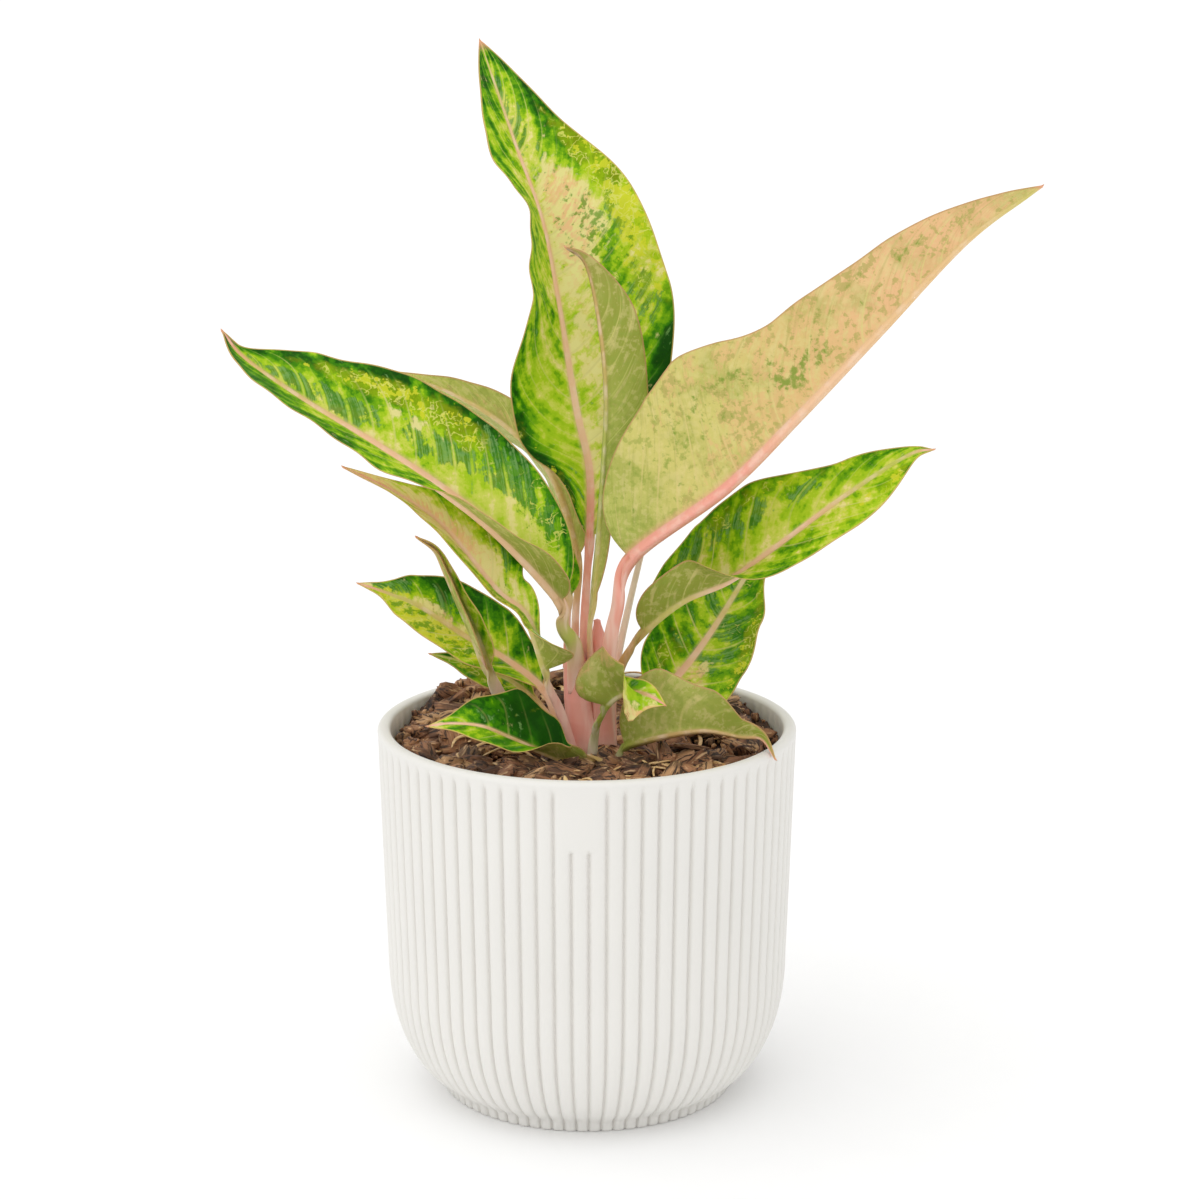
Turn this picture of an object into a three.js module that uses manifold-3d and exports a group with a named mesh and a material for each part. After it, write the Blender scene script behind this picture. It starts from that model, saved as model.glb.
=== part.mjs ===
// A potted Chinese evergreen (Aglaonema): ribbed white pot, bark potting mix, two short trunks and leaves.
// Millimetres, +Z up, origin at the centre of the pot's foot, -Y is the side that the plain panel is on.
import * as THREE from 'three';
import { mergeVertices } from 'three/addons/utils/BufferGeometryUtils.js';
import Module from 'manifold-3d';

const wasm = await Module();
wasm.setup();

// ---------- driving dimensions ----------
const pot = {
  rimRadius: 80,          // crest of the ribs at the rim
  height: 144,
  wall: 5,
  rimRound: 2,            // height of the rim's rounded edge
  footRadius: 56.5,
  footHeight: 5,
  footFlare: 1,           // how much the foot widens up to the waist
  floor: 6,               // thickness of the bottom
  bowlHeight: 55,         // the side curves in below this
  bowlRings: [11, 20, 34],
  bowlCurve: [2.4, 0.7],  // exponents of the curve from the waist to the side
  sideRadius: 77.2,       // where the bowl ends and the nearly upright side begins
  sideEase: 0.9,          // exponent of the side's widening up to the rim
  ribs: 76,
  grooveDepth: 1.3,
  footGroove: 0.7,        // share of that depth at the foot
  topGroove: 0.75,        // and under the rim
  ribTop: 139,            // the grooves run out under the rounded rim
  panelRibs: 3,           // width of the plain panel, in ribs
  panelFoot: 118,         // lower edge of the plain panel
  panelRib: 58,           // number of the groove at the panel's right edge
  turn: 0.75,             // how far the ribs are turned about the upright axis, in degrees
};
const soil = {
  level: 133.5,           // at the foot of the stems
  edgeRise: 4,            // dished towards the wall
  backRise: 5,            // higher against the far wall
  heaps: [[-50, 46, 16, 8], [50, 48, 14, 5]],   // x, y, radius and rise
  lumps: [[7, 12, 1, 0.9], [4, -5, 0, 0.5], [11, 3.4, 0, 0.4]],   // x and y wavelength, shift and height
  radii: [73.9, 66, 56, 45, 34, 22, 10],
  columns: 32,
  wallGap: 0.45,          // between the mix and the pot
  chips: 34,
  chipReach: 66,
  chipLength: [9, 18],
  chipWidth: [5, 9],
  chipHeight: [4, 6.5],
  chipTilt: 0.5,          // greatest tilt, in radians
  chipEnds: [0.85, 0.55], // how far a chip's two ends narrow
  chipRise: 3,            // how far a chip's middle lies above the mix
  seed: 11,
};
// the two short trunks that grow from one rootstock: points up the middle, and radius at foot and top
const trunks = [
  { path: [[3, -10, 112], [0, -12, 136], [-3, -12, 152], [-4, -12, 166], [-4, -12, 178]], radius: [6, 4.6] },
  { path: [[3, -10, 112], [6, -9, 136], [6, -9, 150], [6, -10, 166], [4, -11, 187]], radius: [6, 4.6] },
];
const trunkRings = { steps: 8, corners: 8, scarEvery: 3, scarSwell: 0.06 };   // some rings are leaf scars
const clear = 0.35;       // gap between two pieces that touch
const stalk = { corners: 14, rings: 2, channel: 0.45, sink: 0.3 };   // rings per span; flattened upper side
const blade = {
  thickness: 0.8,
  baseRound: 0.55,        // exponent of the blade's rounding at its base
  tipDraw: 0.9,           // and of its drawing out to the tip
  fullWaveWidth: 15,      // a half narrower than this ripples less
  ribTaper: 0.8,          // exponent of the midrib's thinning to the tip
  ribShare: 0.8,          // midrib radius at the base, as a share of the stalk's
  ribLeast: 0.25,
  edgeLeast: 0.9,         // the least that the blade reaches past the midrib
  tip: 0.8,               // length of the point past the last ring
};

// ---------- small helpers ----------
function randomFrom(seed) {
  let state = seed;
  return () => {
    state = (state * 1664525 + 1013904223) % 4294967296;
    return state / 4294967296;
  };
}

const point = ([x, y, z]) => new THREE.Vector3(x, y, z);

// value along a leaf, 0 at the base and 1 at the tip, eased between evenly spaced stations
function along(stations, u) {
  const place = u * (stations.length - 1);
  const index = Math.min(Math.floor(place), stations.length - 2);
  const part = THREE.MathUtils.smoothstep(place - index, 0, 1);
  return stations[index] * (1 - part) + stations[index + 1] * part;
}

function alongVectors(stations, u) {
  return point([0, 1, 2].map((axis) => along(stations.map((row) => row[axis]), u)));
}

const weld = 1e-4;        // corners closer than this are one

function solidFrom(geometry) {
  const plain = geometry.clone();
  plain.deleteAttribute('normal');
  plain.deleteAttribute('uv');
  const merged = mergeVertices(plain, weld);
  return new wasm.Manifold(new wasm.Mesh({
    numProp: 3,
    vertProperties: new Float32Array(merged.attributes.position.array),
    triVerts: new Uint32Array(merged.index.array),
  }));
}

function geometryFrom(solid) {
  const mesh = solid.getMesh();
  const geometry = new THREE.BufferGeometry();
  geometry.setAttribute('position', new THREE.BufferAttribute(new Float32Array(mesh.vertProperties), 3));
  geometry.setIndex(new THREE.BufferAttribute(new Uint32Array(mesh.triVerts), 1));
  return geometry;
}

function geometryOf(corners, faces) {
  const geometry = new THREE.BufferGeometry();
  const places = new Float32Array(corners.flatMap((p) => [p.x, p.y, p.z]));
  geometry.setAttribute('position', new THREE.BufferAttribute(places, 3));
  geometry.setIndex(faces);
  return geometry;
}

const middle = (ring) => ring.reduce((sum, p) => sum.add(p), new THREE.Vector3()).divideScalar(ring.length);

// closed skin over a row of rings that all hold the same number of points; apex is where the last one ends
function skin(rings, apex) {
  const count = rings[0].length;
  const faces = [];
  for (let row = 0; row + 1 < rings.length; row += 1) {
    for (let col = 0; col < count; col += 1) {
      const next = (col + 1) % count;
      const a = row * count + col;
      const b = row * count + next;
      const mirrored = col >= count / 2;    // the underside is split along the same diagonals as the top
      if (mirrored) faces.push(a, b, a + count, b, b + count, a + count);
      else faces.push(a, b, b + count, a, b + count, a + count);
    }
  }
  const corners = rings.flat();
  const last = (rings.length - 1) * count;
  const start = corners.push(middle(rings[0])) - 1;
  const end = corners.push(apex ?? middle(rings.at(-1))) - 1;
  for (let col = 0; col < count; col += 1) {
    const next = (col + 1) % count;
    faces.push(next, col, start, last + col, last + next, end);
  }
  return geometryOf(corners, faces);
}

// ---------- leaves ----------
// stalk and rib are points chosen by hand along the leaf stalk and the midrib, foot first.
// face is the way that the upper side looks at the base, the middle and the tip of the blade.
// half, fold and curl are for the left and the right half of the blade, seen from its upper side with
// the tip up: greatest half width, the angle that the half rises from the midrib, and how much further
// it bends up towards its edge, in degrees, at even stations from base to tip.
const leaves = {
  leaf_crown: {
    stalk: [[0, -9, 166], [-1, -9, 180], [0, -5, 200]],
    rib: [[1, 0, 217], [1, 6, 241], [-4, 12, 264], [-11, 24, 303], [-17, 33, 332], [-28, 44, 362],
      [-41, 60, 398]],
    face: [[0.1, -0.9, 0.3], [0.15, -0.95, 0.3], [0.3, -0.8, 0.5]],
    half: [[9, 25, 28, 22, 10], [12, 34, 43, 35, 13]],
    fold: [[30, 8, 3, 56, 62, 36, 15], [30, 8, 5, 10, 10]],
    curl: [[10, 10, 20, 0, 0], [0, 0, 10, 15, 0]],
    wave: [1.5, 3, 0.2], stem: [1.9, 1.3], colour: 0x9c9a62,
  },
  leaf_spire: {
    stalk: [[3, -13, 166], [2, -14, 180]],
    rib: [[2, -15, 196], [4, -17, 219], [6, -18, 248], [7, -17, 272], [5, -14, 297], [0, -9, 320],
      [-8, -6, 327]],
    face: [[1, 0.3, 0], [1, 0.3, 0], [1, 0.2, 0.4]],
    half: [[4, 5, 16, 14, 2], [4, 5, 12, 12, 2]],
    fold: [[72, 72, 70, 66, 60], [80, 78, 74, 66, 60]],
    curl: [[0, 0, 10, 10, 0], [0, 0, 0, 0, 0]],
    wave: [0.6, 2, 0], stem: [1.9, 1.1], colour: 0xa9ab62,
  },
  leaf_right_high: {
    stalk: [[6, -15, 160], [7, -18, 177], [10, -20, 193]],
    rib: [[17, -25, 214], [51, -34, 242], [77, -40, 270], [104, -44, 300], [135, -46, 334],
      [161, -44, 353]],
    face: [[-0.6, 0.45, 0.65], [-0.6, 0.45, 0.65], [-0.6, 0.4, 0.7]],
    half: [[24, 34, 28, 18, 6], [35, 47, 31, 22, 7]],
    fold: [[35, 30, 30, 30, 25], [62, 62, 60, 55, 50]],
    curl: [[0, 0, 0, 0, 0], [10, 10, 0, 10, 0]],
    wave: [1.2, 2.5, 0.5], stem: [4, 2.4], colour: 0xd2b58c,
    lean: [[0, 0, 0, 0, 0], [-0.1, 0, 0, 0, 0]],
  },
  leaf_right_mid: {
    stalk: [[10, -7, 160], [14, -7, 171]],
    rib: [[22, -9, 182], [36, -14, 195], [53, -18, 204], [72, -22, 219], [96, -24, 238],
      [118, -22, 252], [128, -20, 254]],
    face: [[-0.2, -0.7, 0.7], [-0.1, -0.7, 0.7], [-0.1, -0.7, 0.7]],
    half: [[12, 26, 27, 12, 2], [14, 20, 17, 13, 2]],
    fold: [[15, 10, 5, 5, 5], [100, 90, 20, 5, 5]],
    curl: [[0, 10, 10, 5, 0], [20, 20, 10, 0, 0]],
    wave: [1.2, 2, 0.1], stem: [2.2, 1.4], colour: 0x7fa13a,
  },
  leaf_right_low: {
    stalk: [[10, 0, 126], [18, 4, 142]],
    rib: [[26, 8, 151], [37, 14, 161], [48, 22, 174], [59, 33, 189], [70, 44, 204], [80, 56, 213]],
    face: [[-0.3, -0.8, 0.5], [-0.3, -0.8, 0.5], [-0.1, -0.8, 0.6]],
    half: [[15, 20, 20, 10, 3], [21, 24, 17, 7, 2]],
    fold: [[10, 10, 5, 5, 5], [10, 5, 5, 5, 5]],
    curl: [[10, 10, 5, 5, 0], [10, 10, 10, 5, 0]],
    wave: [1, 2, 0.3], stem: [2.1, 1.3], colour: 0x86a83e,
  },
  leaf_left_high: {
    stalk: [[-3, -15, 160], [-4, -19, 179], [-8, -22, 187]],
    rib: [[-11, -25, 198], [-32, -30, 224], [-53, -33, 242], [-76, -34, 258], [-102, -32, 274],
      [-124, -28, 289], [-132, -26, 299]],
    face: [[0.3, -0.7, 0.65], [0.3, -0.7, 0.65], [0.3, -0.6, 0.7]],
    half: [[17, 15, 23, 20, 4], [22, 32, 31, 20, 2]],
    fold: [[95, 54, 42, 38, 30], [20, 10, 10, 10, 10]],
    curl: [[20, 10, 0, 0, 0], [10, 10, 0, 0, 0]],
    wave: [1.2, 2.5, 0.6], stem: [3.8, 2.2], colour: 0x6f9434,
    lean: [[-0.2, -0.2, 0, 0, 0], [0, 0, 0, 0, 0]],
  },
  leaf_left_rear: {
    stalk: [[-5, -6, 162], [-4, 0, 184]],
    rib: [[-4, 10, 207], [-13, 24, 235], [-31, 34, 253], [-53, 42, 265], [-75, 48, 272]],
    face: [[0.3, 0.7, 0.6], [0.3, 0.7, 0.6], [0.3, 0.6, 0.7]],
    half: [[8, 13, 12, 8, 3], [9, 17, 18, 13, 4]],
    fold: [[25, 25, 20, 20, 10], [25, 25, 20, 20, 10]],
    curl: [[0, 0, 0, 0, 0], [0, 0, 0, 0, 0]],
    wave: [1, 2, 0], stem: [1.9, 1.2], colour: 0xb5bd7c,
  },
  leaf_left_mid: {
    stalk: [[-1, -17, 124], [-9, -22, 153], [-13, -27, 164]],
    rib: [[-16, -31, 173], [-22, -34, 194], [-33, -34, 204], [-52, -28, 226], [-68, -23, 237],
      [-90, -17, 247]],
    face: [[0.3, -0.7, 0.6], [0.3, -0.7, 0.6], [0.3, -0.6, 0.7]],
    half: [[22, 11, 9, 7, 2], [2, 10, 18, 10, 3]],
    fold: [[105, 50, 40, 40, 30], [20, 10, 5, 5, 5]],
    curl: [[20, 0, 0, 0, 0], [10, 10, 0, 0, 0]],
    wave: [1, 2, 0.4], stem: [2.3, 1.3], colour: 0xb9b06a,
    lean: [[0.1, 0, 0, 0, 0], [0, 0, 0, 0, 0]],
  },
  leaf_left_low: {
    stalk: [[-3, -5, 124], [-11, -3, 146]],
    rib: [[-18, 1, 158], [-33, 8, 168], [-47, 12, 175], [-64, 14, 186], [-76, 15, 191], [-88, 16, 195]],
    face: [[0.2, -0.7, 0.7], [0.2, -0.7, 0.7], [0.2, -0.6, 0.8]],
    half: [[7, 14, 13, 9, 2], [10, 18, 19, 11, 3]],
    fold: [[20, 20, 15, 10, 10], [20, 10, 10, 10, 10]],
    curl: [[10, 0, 0, 0, 0], [10, 10, 0, 0, 0]],
    wave: [1, 2, 0.4], stem: [2.2, 1.2], colour: 0x557f2e,
  },
  leaf_left_small: {
    stalk: [[-8, 6, 126], [-14, 9, 143]],
    rib: [[-21, 12, 150], [-29, 15, 156], [-38, 17, 160], [-48, 19, 163], [-61, 20, 166]],
    face: [[0, -0.6, 0.8], [0, -0.6, 0.8], [0, -0.6, 0.8]],
    half: [[4, 8, 9, 7, 2], [4, 7, 7, 5, 2]],
    fold: [[20, 15, 10, 10, 10], [20, 15, 10, 10, 10]],
    curl: [[0, 0, 0, 0, 0], [0, 0, 0, 0, 0]],
    wave: [0.5, 2, 0], stem: [1.6, 0.9], colour: 0x47702a,
  },
  leaf_front_left: {
    stalk: [[9, -28, 126], [7, -28, 136]],
    rib: [[0, -29, 138], [-9, -30, 138], [-19, -33, 143], [-30, -36, 149], [-39, -37, 153], [-50, -37, 154],
      [-59, -37, 153]],
    face: [[0.3, -0.6, 0.7], [0.3, -0.6, 0.75], [0.2, -0.5, 0.8]],
    half: [[9, 11, 11, 9, 3], [6, 15, 21, 12, 2]],
    fold: [[95, 80, 25, 20, 10], [20, 15, 10, 10, 10]],
    curl: [[20, 10, 0, 0, 0], [10, 10, 0, 0, 0]],
    wave: [0.7, 2, 0.4], stem: [1.7, 0.9], colour: 0x4f7a2c,
  },
  leaf_front_cup: {
    stalk: [[1, -20, 124], [2, -23, 145], [4, -27, 153]],
    rib: [[8, -30, 159], [12, -33, 163], [17, -37, 166], [23, -41, 166], [29, -44, 163]],
    face: [[-0.1, -0.3, 0.95], [0, -0.4, 0.9], [0, -0.4, 0.9]],
    half: [[8, 8, 6, 5, 2], [15, 20, 16, 14, 4]],
    fold: [[30, 30, 20, 10, 10], [60, 82, 68, -20, 0]],
    curl: [[20, 20, 10, 0, 0], [50, 40, 10, 0, 0]],
    wave: [0.4, 2, 0], stem: [2.4, 1.2], colour: 0x94903f,
    lean: [[0, 0, 0, 0, 0], [-0.7, 0.3, 0.3, 0, 0]],
  },
  leaf_front_right: {
    stalk: [[12, -20, 126], [12, -21, 137]],
    rib: [[15, -23, 141], [22, -26, 144], [34, -30, 148], [45, -33, 150], [57, -37, 149], [65, -40, 149],
      [70, -43, 142]],
    face: [[-0.1, 0.45, 0.9], [-0.1, 0.45, 0.9], [0.4, 0.2, 0.8]],
    half: [[10, 14, 12, 8, 2], [16, 26, 17, 8, 2]],
    fold: [[30, 30, 30, 30, 20], [62, 62, 60, 50, 30]],
    curl: [[10, 10, 0, 0, 0], [10, 10, 0, 0, 0]],
    wave: [0.6, 2, 0], stem: [2.4, 1.1], colour: 0x8b9a45,
  },
  leaf_spear: {
    stalk: [[-28, 6, 124], [-30, 3, 146], [-34, -3, 158]],
    rib: [[-38, -7, 168], [-42, -11, 181], [-47, -15, 194], [-52, -18, 207], [-56, -20, 216],
      [-63, -20, 221]],
    face: [[0.4, -0.8, 0.2], [0.4, -0.8, 0.2], [0.4, -0.8, 0.2]],
    half: [[6, 7, 5, 3, 1], [6, 7, 5, 3, 1]],
    fold: [[40, 40, 45, 50, 40], [40, 40, 45, 50, 40]],
    curl: [[60, 60, 60, 50, 0], [50, 50, 50, 40, 0]],
    wave: [0, 1, 0], stem: [4, 1.8], colour: 0x8f8a4c,
  },
  leaf_left_inner: {
    stalk: [[-7, -9, 168], [-7, -9, 184]],
    rib: [[-7, -8, 196], [-11, -6, 206], [-16, -5, 216], [-21, -4, 226], [-27, -3, 236]],
    face: [[0.5, -0.8, 0.3], [0.5, -0.8, 0.3], [0.5, -0.8, 0.3]],
    half: [[7, 10, 10, 7, 2], [7, 9, 8, 6, 2]],
    fold: [[10, 10, 10, 10, 10], [10, 10, 10, 10, 10]],
    curl: [[0, 0, 0, 0, 0], [0, 0, 0, 0, 0]],
    wave: [0.5, 2, 0], stem: [1.8, 0.9], colour: 0x4a6f2b,
  },
  leaf_back_right: {
    stalk: [[9, -5, 156], [12, 4, 172], [18, 16, 196]],
    rib: [[24, 28, 216], [32, 40, 236], [42, 50, 254], [55, 60, 270], [70, 70, 282]],
    face: [[-0.5, -0.5, 0.6], [-0.5, -0.5, 0.7], [-0.4, -0.5, 0.8]],
    half: [[10, 20, 21, 15, 5], [10, 20, 21, 15, 5]],
    fold: [[15, 15, 10, 10, 10], [15, 15, 10, 10, 10]],
    curl: [[0, 0, 0, 0, 0], [0, 0, 0, 0, 0]],
    wave: [1, 2, 0.2], stem: [1.8, 1.1], colour: 0xa9b46a,
  },
};

const longBlade = [0, 0.02, 0.07, 0.14, 0.23, 0.33, 0.44, 0.55, 0.66, 0.77, 0.87, 0.95, 0.99];
const shortBlade = [0, 0.04, 0.14, 0.28, 0.44, 0.6, 0.76, 0.9, 0.98];
const shortRib = 60;      // a midrib under this length has the short blade's stations
const widthStations = [0.1, 0.3, 0.5, 0.7, 0.9];

// how a blade rounds off at its base and draws out to its tip
const ends = (u) => u ** blade.baseRound * (1 - u) ** blade.tipDraw;

// half width at u: the widths given at the five stations, eased between them, with the ends' own shape
function halfWidth(widths, u) {
  const shares = widths.map((width, index) => width / ends(widthStations[index]));
  const [first, last] = [widthStations[0], widthStations.at(-1)];
  const place = THREE.MathUtils.clamp((u - first) / (last - first), 0, 1);
  return along(shares, place) * ends(u);
}

function leafFrame(leaf, path, place, u) {
  const tangent = path.getTangent(place).normalize();
  const normal = alongVectors(leaf.face, u);
  normal.addScaledVector(tangent, -normal.dot(tangent)).normalize();
  const side = new THREE.Vector3().crossVectors(tangent, normal).normalize();
  return { centre: path.getPoint(place), tangent, normal, side };
}

// point at distance s from the midrib: the half starts at its fold angle and bends evenly to fold + curl
function bladePoint(frame, leaf, u, sign, s, width, drop) {
  const which = sign < 0 ? 0 : 1;
  const fold = THREE.MathUtils.degToRad(along(leaf.fold[which], u));
  const bend = THREE.MathUtils.degToRad(along(leaf.curl[which], u)) / Math.max(width, 1);
  const end = fold + bend * s;
  const flat = Math.abs(bend) < 1e-4;
  const out = flat ? s * Math.cos(fold) : (Math.sin(end) - Math.sin(fold)) / bend;
  const up = flat ? s * Math.sin(fold) : (Math.cos(fold) - Math.cos(end)) / bend;
  const [size, count, phase] = leaf.wave;
  const reach = s / Math.max(width, 1);
  const swing = size * Math.min(1, width / blade.fullWaveWidth) * reach ** 2;
  const ripple = swing * Math.sin(2 * Math.PI * (count * u + phase + which / 3));
  const lean = leaf.lean ? along(leaf.lean[which], u) * reach : 0;
  return frame.centre.clone()
    .addScaledVector(frame.tangent, lean * s)
    .addScaledVector(frame.side, sign * (out - (ripple - drop) * Math.sin(end)))
    .addScaledVector(frame.normal, up + (ripple - drop) * Math.cos(end));
}

// a ring of the leaf stalk, flattened into a channel on its upper side
function stalkRing(frame, radius) {
  const half = stalk.corners / 2;
  return Array.from({ length: stalk.corners }, (_, corner) => {
    const onTop = corner < half;
    const turn = Math.PI * (onTop ? 1 - (corner + 0.5) / half : -(corner - half + 0.5) / half);
    const lift = onTop ? stalk.channel : 1;
    return frame.centre.clone()
      .addScaledVector(frame.side, radius * Math.cos(turn))
      .addScaledVector(frame.normal, radius * (lift * Math.sin(turn) - stalk.sink));
  });
}

// a ring of the blade: the upper side from the left edge to the right one, then the underside back
function bladeRing(frame, leaf, u, grow) {
  const ribRadius = leaf.stem[1] * (1 - u) ** blade.ribTaper * blade.ribShare + blade.ribLeast;
  const under = blade.thickness + grow;
  const rows = [[-grow, grow], [under, -(under + ribRadius)]].map(([drop, keel]) => {
    const halves = [-1, 1].map((sign) => {
      const least = ribRadius + blade.edgeLeast;
      const width = Math.max(halfWidth(leaf.half[sign < 0 ? 0 : 1], u), least) + grow;
      const ribEdge = Math.min(ribRadius + 0.3, width * 0.4);
      const spots = [width, (width + ribEdge) / 2, ribEdge];
      return spots.map((s) => bladePoint(frame, leaf, u, sign, s, width, drop));
    });
    return [...halves[0], frame.centre.clone().addScaledVector(frame.normal, keel), ...halves[1].reverse()];
  });
  return [...rows[0], ...rows[1].reverse()];
}

// grow makes the same leaf thicker all round, which is how its clearance in the soil and the trunks is cut
function buildLeaf(leaf, grow = 0) {
  const points = [...leaf.stalk, ...leaf.rib].map(point);
  const path = new THREE.CatmullRomCurve3(points, false, 'catmullrom', 0.5);
  const spans = points.length - 1;
  const [footRadius, neckRadius] = leaf.stem;
  const rings = [];
  const stalkRings = leaf.stalk.length * stalk.rings;
  for (let row = 0; row < stalkRings; row += 1) {
    const frame = leafFrame(leaf, path, row / stalk.rings / spans, 0);
    if (row === 0) frame.centre.addScaledVector(frame.tangent, -grow);
    rings.push(stalkRing(frame, THREE.MathUtils.lerp(footRadius, neckRadius, row / stalkRings) + grow));
  }
  const ribLength = new THREE.CatmullRomCurve3(leaf.rib.map(point)).getLength();
  for (const u of ribLength < shortRib ? shortBlade : longBlade) {
    const frame = leafFrame(leaf, path, (leaf.stalk.length + u * (leaf.rib.length - 1)) / spans, u);
    rings.push(bladeRing(frame, leaf, u, grow));
  }
  return skin(rings, path.getPoint(1).addScaledVector(path.getTangent(1), blade.tip + grow));
}

// ---------- pot ----------
// radius of the rib crests at height z: a short foot, a round bowl and a nearly upright side
function crestRadius(z) {
  const waist = pot.footRadius + pot.footFlare;
  if (z <= pot.footHeight) return THREE.MathUtils.lerp(pot.footRadius, waist, z / pot.footHeight);
  if (z >= pot.bowlHeight) {
    const up = (z - pot.bowlHeight) / (pot.height - pot.bowlHeight);
    return THREE.MathUtils.lerp(pot.sideRadius, pot.rimRadius, up ** pot.sideEase);
  }
  const part = (z - pot.footHeight) / (pot.bowlHeight - pot.footHeight);
  const [steep, round] = pot.bowlCurve;
  return THREE.MathUtils.lerp(waist, pot.sideRadius, (1 - (1 - part) ** steep) ** round);
}

// radius of the inner wall at these heights, straight between them
const innerProfile = [
  [pot.rimRadius - pot.wall, pot.height - 1.4],
  [crestRadius(70) - pot.wall, 70],
  [crestRadius(34) - pot.wall, 34],
  [pot.footRadius - 1, pot.floor + 6],
  [pot.footRadius - 11, pot.floor],
];

function ringAt(radius, z, columns) {
  return Array.from({ length: columns }, (_, column) => {
    const turn = (column / columns) * 2 * Math.PI;
    return new THREE.Vector3(radius * Math.cos(turn), radius * Math.sin(turn), z);
  });
}

// a ring of the fluted side: every rib is a groove corner and two crest corners
function flutedRing(z, depth) {
  return Array.from({ length: pot.ribs * 3 }, (_, column) => {
    const rib = column / 3;
    const turn = (rib / pot.ribs) * 2 * Math.PI;
    const fromEdge = (pot.panelRib - rib + pot.ribs) % pot.ribs;
    const onPanel = z > pot.panelFoot && fromEdge > 0.1 && fromEdge < pot.panelRibs - 0.1;
    const radius = crestRadius(z) - (column % 3 === 0 && !onPanel ? depth : 0);
    return new THREE.Vector3(radius * Math.cos(turn), radius * Math.sin(turn), z);
  });
}

function buildPot() {
  const deep = pot.grooveDepth;
  const panelFoot = [pot.panelFoot - 1, pot.panelFoot + 1];
  const plainHeights = [pot.footHeight, ...pot.bowlRings, pot.bowlHeight, ...panelFoot];
  const fluted = [
    flutedRing(0, deep * pot.footGroove),
    ...plainHeights.map((z) => flutedRing(z, deep)),
    flutedRing(pot.ribTop, deep * pot.topGroove),
  ];
  const round = [
    ringAt(pot.rimRadius, pot.height - pot.rimRound, pot.ribs),
    ringAt(pot.rimRadius - 0.3 * pot.rimRound, pot.height - 0.3 * pot.rimRound, pot.ribs),
    ringAt(pot.rimRadius - pot.rimRound, pot.height, pot.ribs),
    ringAt(pot.rimRadius - pot.wall + 0.7 * pot.rimRound, pot.height, pot.ribs),
    ...innerProfile.map(([radius, z]) => ringAt(radius, z, pot.ribs)),
  ];
  const middles = [new THREE.Vector3(0, 0, pot.floor), new THREE.Vector3()];
  const corners = [...fluted.flat(), ...round.flat(), ...middles];
  const faces = [];
  const wide = pot.ribs * 3;
  const band = (start, columns) => {
    for (let column = 0; column < columns; column += 1) {
      const next = (column + 1) % columns;
      faces.push(start + column, start + next, start + columns + next);
      faces.push(start + column, start + columns + next, start + columns + column);
    }
  };
  for (let row = 0; row + 1 < fluted.length; row += 1) band(row * wide, wide);
  const roundStart = fluted.length * wide;
  for (let row = 0; row + 1 < round.length; row += 1) band(roundStart + row * pot.ribs, pot.ribs);
  for (let rib = 0; rib < pot.ribs; rib += 1) {         // the grooves' top ring meets the round rim
    const start = roundStart - wide + rib * 3;
    const end = roundStart - wide + ((rib + 1) * 3) % wide;
    const high = roundStart + rib;
    const nextHigh = roundStart + (rib + 1) % pot.ribs;
    faces.push(start, start + 1, high, start + 1, start + 2, high, start + 2, nextHigh, high);
    faces.push(start + 2, end, nextHigh);
  }
  const lowest = roundStart + (round.length - 1) * pot.ribs;
  for (let column = 0; column < pot.ribs; column += 1) {
    faces.push(lowest + column, lowest + (column + 1) % pot.ribs, corners.length - 2);
  }
  for (let column = 0; column < wide; column += 1) {
    faces.push((column + 1) % wide, column, corners.length - 1);
  }
  return geometryOf(corners, faces);
}

// ---------- trunks ----------
function buildTrunks(cutters, grow = 0) {
  const { steps, corners, scarEvery, scarSwell } = trunkRings;
  const solids = trunks.map(({ path, radius }) => {
    const curve = new THREE.CatmullRomCurve3(path.map(point));
    const rings = Array.from({ length: steps + 1 }, (_, row) => {
      const swell = row % scarEvery === 0 ? 1 + scarSwell : 1;
      const size = THREE.MathUtils.lerp(radius[0], radius[1], row / steps) * swell + grow;
      return ringAt(size, 0, corners).map((p) => p.add(curve.getPoint(row / steps)));
    });
    return solidFrom(skin(rings));
  });
  const joined = solids.reduce((sum, solid) => sum.add(solid));
  return geometryFrom(cutters.reduce((left, cutter) => left.subtract(cutter), joined));
}

// ---------- soil ----------
// height of the mix: dished to the wall, higher at the back, with two heaps there and broad lumps
function soilHeight(x, y) {
  const reach = Math.hypot(x, y) / pot.rimRadius;
  const back = Math.max(0, y / pot.rimRadius);
  let height = soil.level + soil.edgeRise * reach ** 2 + soil.backRise * back ** 1.5;
  for (const [heapX, heapY, radius, rise] of soil.heaps) {
    height += rise * Math.exp(-((x - heapX) ** 2 + (y - heapY) ** 2) / radius ** 2);
  }
  for (const [alongX, alongY, shift, rise] of soil.lumps) {
    height += rise * Math.sin(x / alongX + y / alongY + shift);
  }
  return height;
}

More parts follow.
